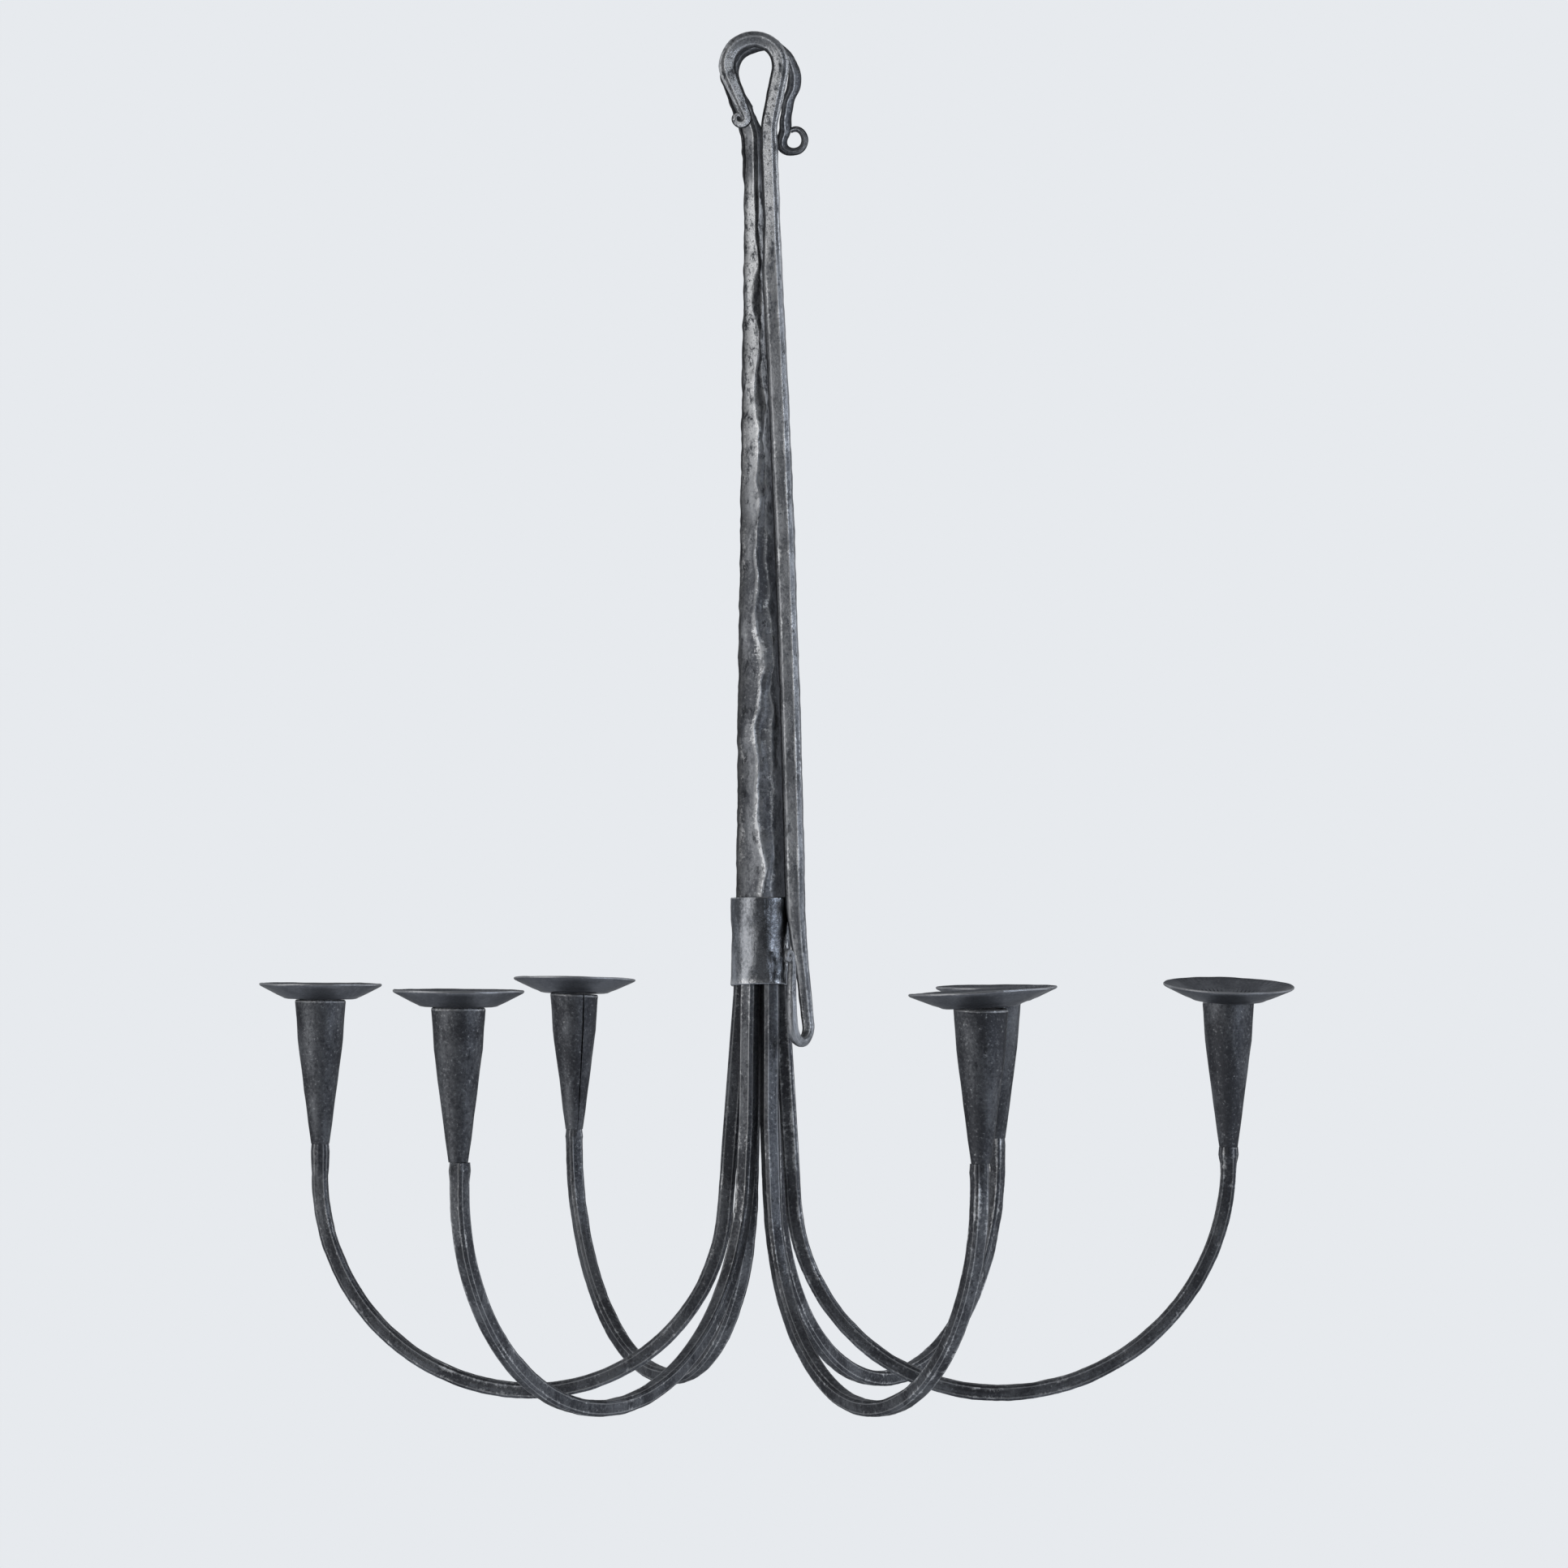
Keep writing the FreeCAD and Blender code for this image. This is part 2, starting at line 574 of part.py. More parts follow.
def make_hanger_rod():
    """Bar in front of the stem: a hook with a small scroll on top, a J-hook with a curl below."""
    body = new_body("hanger_rod")
    bar = "Sizes.rod_bar"
    edge = "Sizes.rod_edge"
    tip_share = f"({edge} / {bar})"
    crown_drop = "(Sizes.rod_hook_radius - Sizes.rod_bar / 2)"
    left_x = -size("Sizes.rod_hook_offset") - size("Sizes.rod_hook_radius")
    crown_start = (left_x, -size(ROD_FRONT), -size(crown_drop))
    lean = "(Sizes.rod_neck_lean * 1 deg)"
    neck_bend = "Sizes.rod_neck_bend"
    neck_x = (
        f"(Sizes.rod_hook_radius * cos({lean}) - Sizes.rod_hook_offset - Sizes.rod_neck_run * sin({lean})"
        f" - {neck_bend} * (1 - cos({lean})))"
    )
    neck_drop = (
        f"({crown_drop} + Sizes.rod_hook_radius * sin({lean}) + Sizes.rod_neck_run * cos({lean})"
        f" + {neck_bend} * sin({lean}))"
    )
    across = f"({COLLAR_OUTSIDE} + Sizes.rod_rest_gap + {bar} / 2 - {neck_x})"
    fall = f"(Sizes.rod_foot_drop - {neck_drop})"
    shank_run = f"sqrt({across}^2 + {fall}^2 - 4 * {neck_bend} * {across})"
    slant = f"((atan2(2 * {neck_bend}; {shank_run}) - atan2(2 * {neck_bend} - {across}; {fall})) / 1 deg)"
    shank = [
        ("Sizes.rod_hook_radius", "(180 + Sizes.rod_neck_lean)", -1),
        ("Sizes.rod_neck_run",),
        (neck_bend, f"(Sizes.rod_neck_lean + {slant})", 1),
        (shank_run,),
        (neck_bend, slant, -1),
    ]
    shank_path, foot = bent_line(body, "ShankPath", crown_start, UP, shank)
    shank_section = bar_section(body, "ShankSection", bar, edge, crown_start)
    sweep(body, "Shank", shank_section, shank_path)
    falling = [
        ("Sizes.rod_hook_radius", "Sizes.rod_tip_lean", 1),
        ("Sizes.rod_tip_run",),
        ("Sizes.rod_scroll_outer", "(180 + Sizes.rod_tip_lean)", -1),
        ("Sizes.rod_scroll_inner", "180", -1),
    ]
    tip_path, tip_end = bent_line(body, "TipPath", crown_start, DOWN, falling)
    tip_start = bar_section(body, "TipStart", bar, edge, crown_start)
    tip_edge = f"Sizes.rod_scroll_tip * {tip_share}"
    tip_section = bar_section(body, "TipSection", "Sizes.rod_scroll_tip", tip_edge, tip_end)
    sweep(body, "Tip", tip_start, tip_path, tip_section)
    strand = [
        ("Sizes.j_radius", "180", -1),
        ("Sizes.j_strand_run",),
    ]
    j_path, strand_end = bent_line(body, "JPath", foot, DOWN, strand, size("Sizes.j_turn"))
    j_start = bar_section(body, "JStart", bar, edge, foot)
    strand_edge = f"Sizes.j_strand_bar * {tip_share}"
    j_end = bar_section(body, "JEnd", "Sizes.j_strand_bar", strand_edge, strand_end)
    sweep(body, "JHook", j_start, j_path, j_end)
    curling = [
        ("Sizes.j_tip_run",),
        ("Sizes.j_scroll_outer", "180", 1),
        ("Sizes.j_scroll_inner", "180", 1),
    ]
    curl_path, curl_end = bent_line(body, "CurlPath", strand_end, UP, curling, size("Sizes.j_turn"))
    curl_start = bar_section(body, "CurlStart", "Sizes.j_strand_bar", strand_edge, strand_end)
    curl_edge = f"Sizes.j_scroll_tip * {tip_share}"
    curl_section = bar_section(body, "CurlSection", "Sizes.j_scroll_tip", curl_edge, curl_end)
    sweep(body, "Curl", curl_start, curl_path, curl_section)
    return body


def check(parts):
    """Stops if any object failed or any sub-part is not one sound solid."""
    for item in doc.Objects:
        if "Invalid" in item.State or "Error" in item.State:
            raise RuntimeError(f"{item.Name} of {item.Label} failed: {item.State}")
    for part in parts:
        if part.Shape.isNull() or not part.Shape.isValid():
            raise RuntimeError(f"{part.Label} has no valid shape")
        if len(part.Shape.Solids) != 1:
            raise RuntimeError(f"{part.Label} has {len(part.Shape.Solids)} solids")


parts = [make_stem(), make_collar(), make_hanger_rod()]
for number in sorted(PLAN_ORDER):
    parts.append(make_arm(number))
    parts.append(make_socket(number))
    parts.append(make_pan(number))
doc.recompute()
check(parts)
os.makedirs("parts", exist_ok=True)
for part in parts:
    part.Shape.exportStep(f"parts/{part.Label}.step")
    print(f"{part.Label}: {part.Shape.Volume:.0f} mm3")
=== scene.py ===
import json
import math
from functools import partial

import bmesh
import bpy
from bpy.props import FloatProperty, FloatVectorProperty, PointerProperty
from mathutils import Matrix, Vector


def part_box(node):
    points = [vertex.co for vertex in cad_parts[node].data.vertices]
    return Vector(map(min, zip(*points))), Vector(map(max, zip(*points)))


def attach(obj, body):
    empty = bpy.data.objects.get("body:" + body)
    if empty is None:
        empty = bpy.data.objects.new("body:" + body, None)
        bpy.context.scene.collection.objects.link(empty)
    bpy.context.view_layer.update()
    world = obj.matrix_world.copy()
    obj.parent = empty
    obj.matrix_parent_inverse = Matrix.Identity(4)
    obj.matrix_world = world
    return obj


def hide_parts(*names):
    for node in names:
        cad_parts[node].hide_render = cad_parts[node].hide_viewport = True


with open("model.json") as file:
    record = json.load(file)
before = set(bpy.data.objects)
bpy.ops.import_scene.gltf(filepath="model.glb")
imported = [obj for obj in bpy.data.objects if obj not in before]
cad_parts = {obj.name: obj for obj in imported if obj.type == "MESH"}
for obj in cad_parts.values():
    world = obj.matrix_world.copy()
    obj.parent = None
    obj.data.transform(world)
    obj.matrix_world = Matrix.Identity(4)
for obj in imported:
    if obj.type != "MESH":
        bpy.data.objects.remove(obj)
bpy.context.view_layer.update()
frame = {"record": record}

bl_info = {
    "name": "Wrought iron chandelier",
    "version": (1, 0, 0),
    "blender": (4, 5, 0),
    "location": "View3D > Sidebar > Chandelier",
    "description": "Dresses the frame of a forged candle chandelier: bars, collar, sockets and drip pans",
    "category": "Add Mesh",
}

ARM_NUMBERS = (1, 2, 3, 4, 5, 6)
# The arms as they follow one another round the bundle
PLAN_ORDER = (5, 3, 1, 2, 4, 6)
UP = math.radians(90)
DOWN = math.radians(-90)
MM = 0.001
# Differences under a hair count as none, and points within the merge gap become one
HAIR = 1e-6
MERGE_GAP = 0.01 * MM
# Points within this reach of a rim tilt with it
RIM_REACH = 3 * MM
SMOOTH_ANGLE = math.radians(35)


def mount_place(name):
    """Place of one of the record's mounts."""
    return next(mount["pos_m"] for mount in frame["record"]["mounts"] if mount["name"] == name)


def linear(code):
    """Linear colour of an sRGB hex value."""
    parts = [int(code[start:start + 2], 16) / 255 for start in (1, 3, 5)]
    return tuple(part / 12.92 if part <= 0.04045 else ((part + 0.055) / 1.055) ** 2.4 for part in parts)


def length(name, description, default):
    """Length, with its default in millimetres."""
    return FloatProperty(name=name, description=description, default=default * MM, unit="LENGTH", precision=5)


def angle(name, description, default):
    """Angle, with its default in degrees."""
    return FloatProperty(name=name, description=description, default=math.radians(default), subtype="ANGLE")


def per_arm(name, description, default):
    """One value for each arm."""
    return FloatVectorProperty(name=name, description=description, default=default, size=6, precision=4)


def colour(name, description, code):
    """Colour, with its default as a hex value."""
    return FloatVectorProperty(name=name, description=description, default=linear(code), size=3,
                               min=0.0, max=1.0, subtype="COLOR")


class ChandelierBars(bpy.types.PropertyGroup):
    """Sizes of the stem, the hanger rod and the arms."""

    arm_bar: length("Arm bar", "Side of the square bar of the arms", 8.2)
    arm_edge: length("Arm edge", "Leg of the flattened corners of the arms", 1.45)
    bundle_direction: angle("Bundle direction", "Plan direction of the first arm of the bundle", 55.4)
    bundle_radius: length("Bundle radius", "Distance of the arms from the axis inside the collar", 9.901)
    arm_top: length("Arm top", "Drop of the arms' upper ends inside the collar", 443.0)
    arm_grip: length("Arm grip", "Length of the arms inside the collar", 37.0)
    splay_bend: length("Splay bend", "Radius of the bend under the collar", 60.0)
    splay: per_arm("Splay", "Lean of each arm under the collar, in degrees", (4.4, 2.9, 2.5, 1.8, 2.6, 3.5))
    bow: per_arm("Bow", "Radius of each arm's lower bend, in metres",
                 (0.1005, 0.112, 0.103, 0.103, 0.105, 0.1035))
    level_run: length("Level run", "Least straight length at the lowest point of an arm", 1.0)
    upright_run: length("Upright run", "Least straight length under a socket", 4.0)
    stem_foot: length("Stem foot", "Side of the stem on the collar", 22.8)
    stem_waist: length("Stem waist", "Side of the stem at its lower third", 21.6)
    stem_middle: length("Stem middle", "Side of the stem at its middle", 15.3)
    stem_neck: length("Stem neck", "Side of the stem under the hook", 8.0)
    stem_edge: FloatProperty(name="Stem edge", description="Leg of the flattened corners as a share of the side",
                             default=0.2, subtype="FACTOR")
    stem_turn: angle("Stem turn", "Turn of the stem's section about the upright axis", -33.0)
    hook_bar: length("Hook bar", "Side of the stem's hook past its crown", 5.2)
    hook_radius: length("Hook radius", "Bend of the stem's crown", 15.6)
    hook_lean: angle("Hook lean", "Lean of the hook's rising leg", 21.5)
    rod_bar: length("Rod bar", "Side of the hanger rod's bar", 7.9)
    rod_edge: length("Rod edge", "Leg of the rod's flattened corners", 2.0)
    rod_hook_radius: length("Rod hook radius", "Bend of the rod's crown", 13.6)
    rod_lean: angle("Rod lean", "Lean of the rod's hook towards its neck", 11.5)
    rod_neck_bend: length("Rod neck bend", "Radius of the bends at the ends of the rod's shank", 45.0)
    rod_foot: length("Rod foot", "Distance of the rod's foot from the axis, to the right", 22.6)
    rod_foot_drop: length("Rod foot drop", "Drop of the rod's foot, where the J-hook begins", 499.6)
    rod_turn: angle("J-hook turn", "Turn of the J-hook's plane about the upright line through the foot", 60.0)
    j_radius: length("J-hook radius", "Bend of the J-hook", 8.0)


class ChandelierSheet(bpy.types.PropertyGroup):
    """Sizes of the collar, the sockets and the drip pans."""

    collar_bore: length("Collar bore", "Inner radius of the collar", 14.35)
    collar_outside: length("Collar outside", "Outer radius of the collar at its ends", 15.65)
    collar_waist: length("Collar waist", "Depth of the collar's waist", 0.5)
    collar_height: length("Collar height", "Height of the collar", 45.0)
    socket_length: length("Socket length", "Length of a socket", 74.0)
    socket_foot: length("Socket foot", "Radius of a socket's foot", 4.9)
    socket_waist: length("Socket waist", "Radius where a socket's flare ends", 11.9)
    socket_rim: length("Socket rim", "Outer radius of a socket's mouth", 13.2)
    socket_wall: length("Socket wall", "Thickness of a socket's wall under its mouth", 1.2)
    socket_floor: length("Socket floor", "Height of the inner floor above a socket's foot", 22.0)
    candle_bore: length("Candle bore", "Radius of the hole for the candle", 11.2)
    socket_seam: length("Seam", "Width of the open seam at a socket's mouth", 0.75)
    tilt: per_arm("Tilt", "Tilt of each socket's mouth and pan, in degrees", (0.6, 0.5, 2.9, 3.2, 0.8, 6.0))
    dip: per_arm("Dip", "Plan direction towards which each mouth dips, in degrees",
                 (20.0, -30.0, 68.0, 180.0, 240.0, -75.0))
    pan_radius: per_arm("Pan radius", "Radius of each drip pan, in metres",
                        (0.0315, 0.0315, 0.0333, 0.0342, 0.033, 0.0333))
    pan_base: length("Pan base", "Radius of a pan's flat base", 18.2)
    pan_rise: length("Pan rise", "Height of a pan's rim over its base", 7.0)
    pan_sheet: length("Pan sheet", "Thickness of a pan's sheet", 1.2)
    pan_gap: length("Pan gap", "Clearance between a pan and its socket's mouth", 0.3)


class ChandelierFinish(bpy.types.PropertyGroup):
    """Colours of the iron."""

    bare_grey: colour("Bare grey", "Bare forged iron of the stem", "#97999D")
    bare_dark: colour("Bare dark", "Scale left in the hollows of the stem", "#63656A")
    rod_grey: colour("Rod grey", "Brushed iron of the hanger rod", "#A7A9AD")
    rod_dark: colour("Rod dark", "Scale left on the hanger rod", "#74767A")
    worn_bright: colour("Worn bright", "Iron rubbed bright along the edges", "#EDEEF0")
    collar_grey: colour("Collar grey", "Burnished iron of the collar", "#A3A6AC")
    collar_dark: colour("Collar dark", "Scale on the collar", "#6A6D72")
    black_grey: colour("Black grey", "Blackened iron of the arms and the sockets", "#6E7074")
    black_dark: colour("Black dark", "Soot and scale on the blackened iron", "#48494D")
    pan_grey: colour("Pan grey", "Scaled sheet of the pans", "#7B7D82")
    pan_dark: colour("Pan dark", "Darker scale on the pans", "#66686D")


def clear_selection():
    if bpy.context.object and bpy.context.object.mode != "OBJECT":
        bpy.ops.object.mode_set(mode="OBJECT")
    bpy.ops.object.select_all(action="DESELECT")


def take_all():
    """Selects everything in edit mode."""
    bpy.ops.mesh.select_all(action="SELECT")


def start_piece(name, size, place, turn=0.0):
    """Starts a piece as a flat face, in edit mode with its points selected."""
    clear_selection()
    bpy.ops.mesh.primitive_plane_add(size=size, location=place, rotation=(0, 0, turn))
    piece = bpy.context.object
    piece.name = name
    piece.data.name = name
    bpy.ops.object.transform_apply()
    bpy.ops.object.mode_set(mode="EDIT")
    bpy.ops.mesh.select_mode(type="VERT")
    take_all()
    return piece


def select_points(piece, chosen):
    """Selects, in edit mode, the points for which chosen is true."""
    bpy.ops.mesh.select_mode(type="VERT")
    bpy.ops.mesh.select_all(action="DESELECT")
    mesh = bmesh.from_edit_mesh(piece.data)
    for point in mesh.verts:
        point.select = chosen(point.co)
    mesh.select_flush_mode()
    bmesh.update_edit_mesh(piece.data)


def turn_piece(turn, place):
    """Turns a piece about the upright line through a place."""
    bpy.ops.transform.rotate(value=-turn, orient_axis="Z", center_override=place)
    bpy.ops.object.transform_apply()


def tilt_about(place, tilt, dip):
    """Tilts what is selected about a place, so that it dips towards a plan direction; both in degrees."""
    tilt, dip = math.radians(tilt), math.radians(dip)
    bpy.ops.transform.rotate(value=tilt * math.sin(dip), orient_axis="X", center_override=place)
    bpy.ops.transform.rotate(value=-tilt * math.cos(dip), orient_axis="Y", center_override=place)


def along(out, way):
    """How closely a direction follows a plan direction in degrees: 1 when they are the same."""
    return out.normalized().dot(Vector((math.cos(math.radians(way)), math.sin(math.radians(way)), 0)))


class ForgedBar:
    """A bar of square section with flattened corners, drawn out and bent in the XZ plane.

    Its end face stays selected, and every step carries that face on. The points of the corner
    lines carry the attribute edge, and more of it on the corner that points in the plan direction
    ridge. Those on a side that is painted dark as shade carry the attribute soot: each entry
    of shaded_sides is a plan direction in degrees and how closely a point lies in it at no painted
    shade and at full painted shade.
    The middles of the flattened corners carry the attribute facet."""

    EDGE_MARK = 1.0
    RIDGE_MARK = 1.35
    SAME_WAY = 0.99
    DEGREES_PER_STEP = 10
    ROUNDED_SHARE = 0.5

    def __init__(self, name, place, heading, side, edge, turn=0.0, ridge=None, shaded_sides=()):
        self.piece = start_piece(name, side, place, turn)
        self.place = Vector(place)
        self.heading = heading
        self.side = side
        self.first = Vector(place)
        bpy.ops.mesh.bevel(offset=edge, affect="VERTICES", clamp_overlap=False)
        take_all()
        bpy.ops.mesh.subdivide(number_cuts=1)
        self.mark_section(ridge, shaded_sides)
        bpy.ops.mesh.select_mode(type="FACE")
        take_all()

    def mark_section(self, ridge, shaded_sides):
        """Marks the first face's points, which every later face takes over."""
        mesh = bmesh.from_edit_mesh(self.piece.data)
        marks = ("edge", "soot", "facet")
        for mark in marks:
            mesh.verts.layers.float.new(mark)
        edge_layer, painted_shade_layer, facet_layer = (mesh.verts.layers.float[mark] for mark in marks)
        reaches = [(point.co - self.place).length for point in mesh.verts]
        for point, reach in zip(mesh.verts, reaches):
            out = point.co - self.place
            if reach > max(reaches) - HAIR:
                on_ridge = ridge is not None and along(out, ridge) > self.SAME_WAY
                point[edge_layer] = self.RIDGE_MARK if on_ridge else self.EDGE_MARK
            elif reach > min(reaches) + HAIR:
                point[facet_layer] = 1.0
            # Painted shade: points on the listed sides are marked to be painted dark, standing in for shadow
            for way, least, most in shaded_sides:
                soot = (along(out, way) - least) / (most - least)
                point[painted_shade_layer] = max(point[painted_shade_layer], min(1.0, soot))
        bmesh.update_edit_mesh(self.piece.data)

    def ahead(self):
        """The direction in which the end face is heading."""
        return Vector((math.cos(self.heading), 0, math.sin(self.heading)))

    def leftwards(self):
        """The direction to the left of the heading."""
        ahead = self.ahead()
        return Vector((-ahead.z, 0, ahead.x))

    def draw_to(self, side):
        """Draws the end face out, or upsets it, to a side."""
        share = side / self.side
        if abs(share - 1.0) > HAIR:
            bpy.ops.transform.resize(value=(share, share, share), center_override=self.place)
        self.side = side

    def step(self, move, side):
        """Carries the end face on by a move."""
        bpy.ops.mesh.extrude_region_move(TRANSFORM_OT_translate={"value": move})
        self.place += move
        self.draw_to(side)

    def bend(self, radius, turn, way, side):
        """Carries the end face on round a bend."""
        pivot = self.place + self.leftwards() * way * radius
        bpy.ops.mesh.extrude_region()
        bpy.ops.transform.rotate(value=turn * way, orient_axis="Y", center_override=pivot)
        self.heading += turn * way
        self.place = pivot - self.leftwards() * way * radius
        self.draw_to(side)

    def follow(self, path, end_side=None, pace=0.006, rounding=0.0):
        """Follows runs (length,) and bends (radius, degrees, way), way +1 to the left and -1 to the right.

        The bar is drawn out to end_side in steps no longer than pace, and its last stretch, rounding
        long, is rounded off."""
        end_side = self.side if end_side is None else end_side
        start_side = self.side
        spans = [part[0] if len(part) == 1 else part[0] * math.radians(part[1]) for part in path]
        done = 0.0
        for part, span in zip(path, spans):
            steps = max(1, math.ceil(span / pace))
            if len(part) == 3:
                steps = max(steps, math.ceil(part[1] / self.DEGREES_PER_STEP))
            for _ in range(steps):
                done += span / steps
                side = start_side + (end_side - start_side) * done / sum(spans)
                if len(part) == 1:
                    self.step(self.ahead() * (span / steps), side)
                else:
                    self.bend(part[0], math.radians(part[1]) / steps, part[2], side)
                if sum(spans) - done < rounding:
                    bpy.ops.transform.tosphere(value=self.ROUNDED_SHARE, center_override=self.place)

    def turn_about(self, place, turn):
        """Turns the whole bar about the upright line through a place, and keeps the end face selected."""
        bpy.ops.object.mode_set(mode="OBJECT")
        turn_piece(turn, place)
        bpy.ops.object.mode_set(mode="EDIT")

    def take_first_face(self, heading, side):
        """Takes hold of the bar's first face, to draw out its other end."""
        bpy.ops.mesh.select_all(action="DESELECT")
        mesh = bmesh.from_edit_mesh(self.piece.data)
        face = min(mesh.faces, key=lambda one: (one.calc_center_median() - self.first).length)
        face.select = True
        mesh.select_flush(True)
        bmesh.update_edit_mesh(self.piece.data)
        self.place = Vector(self.first)
        self.heading = heading
        self.side = side


def close_up():
    """Merges doubles, turns the faces outwards and leaves edit mode."""
    bpy.ops.mesh.select_mode(type="VERT")
    take_all()
    bpy.ops.mesh.remove_doubles(threshold=MERGE_GAP)
    take_all()
    bpy.ops.mesh.normals_make_consistent(inside=False)
    bpy.ops.object.mode_set(mode="OBJECT")


def refine(piece, levels):
    """Divides every face, so that hammer marks can be struck into it."""
    finer = piece.modifiers.new("finer", "SUBSURF")
    finer.subdivision_type = "SIMPLE"
    finer.levels = levels
    bpy.ops.object.modifier_apply(modifier=finer.name)


def push(piece, where, weight, strength, direction="X", middle=0.0, texture=None):
    """Moves a piece's points by a strength, as far as the vertex group where says.

    weight gives a point's share from its place and its attribute edge, or is None for a group made before."""
    if weight:
        edges = piece.data.attributes["edge"].data
        shares = [weight(point.co, edge.value) for point, edge in zip(piece.data.vertices, edges)]
        group = piece.vertex_groups.new(name=where)
        for number, share in enumerate(shares):
            group.add([number], max(0.0, min(1.0, share)), "REPLACE")
    move = piece.modifiers.new("push", "DISPLACE")
    move.texture = texture
    move.texture_coords = "LOCAL"
    move.strength = strength
    move.mid_level = middle
    move.direction = direction
    move.vertex_group = where
    bpy.ops.object.modifier_apply(modifier=move.name)


def hammer(piece, where, weight, size, depth, middle=0.7, direction="NORMAL", pattern="CLOUDS"):
    """Strikes shallow marks of a size and a depth; middle is the untouched level."""
    marks = bpy.data.textures.new(f"{piece.name}_{where}", pattern)
    marks.noise_scale = size
    push(piece, where, weight, depth, direction, middle, marks)


def settle(piece, body, node, material):
    """Shades a finished piece, gives it its material and its body, and hides the part of the frame that it stands
    for.
    """
    bpy.ops.object.shade_smooth_by_angle(angle=SMOOTH_ANGLE)
    piece.data.materials.clear()
    piece.data.materials.append(material)
    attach(piece, body)
    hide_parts(node)


def outline_face(name, place, points, worn):
    """The wall's outline as one upright face beside an axis: points of radius and height, worn ones by number."""
    piece = start_piece(name, MM, place)
    bpy.ops.mesh.merge(type="CENTER")
    here, *others = (Vector((radius, 0, height)) for radius, height in points)
    bpy.ops.transform.translate(value=here)
    for there in others:
        bpy.ops.mesh.extrude_vertices_move(TRANSFORM_OT_translate={"value": there - here})
        here = there
    mesh = bmesh.from_edit_mesh(piece.data)
    layer = mesh.verts.layers.float.new("edge")
    for number, point in enumerate(mesh.verts):
        point[layer] = 1.0 if number in worn else 0.0
    bmesh.update_edit_mesh(piece.data)
    take_all()
    bpy.ops.mesh.edge_face_add()
    return piece


def add(tree, kind, inputs=None, **settings):
    """Adds a node with its settings. An input that is another node's socket is linked, any other is set."""
    node = tree.nodes.new(kind)
    for name, value in settings.items():
        setattr(node, name, value)
    for name, value in (inputs or {}).items():
        if isinstance(value, bpy.types.NodeSocket):
            tree.links.new(value, node.inputs[name])
        else:
            node.inputs[name].default_value = value
    return node


def spread(tree, source, start, end, low=0.0, high=1.0, smooth=True):
    """Goes over from low to high as a source goes from start to end."""
    limits = {"From Min": start, "From Max": end, "To Min": low, "To Max": high}
    return add(tree, "ShaderNodeMapRange", {"Value": source, **limits},
               interpolation_type="SMOOTHSTEP" if smooth else "LINEAR").outputs[0]


def shade(tone, share=1.0):
    """Opaque colour, darkened to a share."""
    return (*(share * part for part in tone), 1.0)


# Heights above every piece, for iron that is nowhere cleaned
NOWHERE = (9.0, 10.0, 11.0, 12.0)


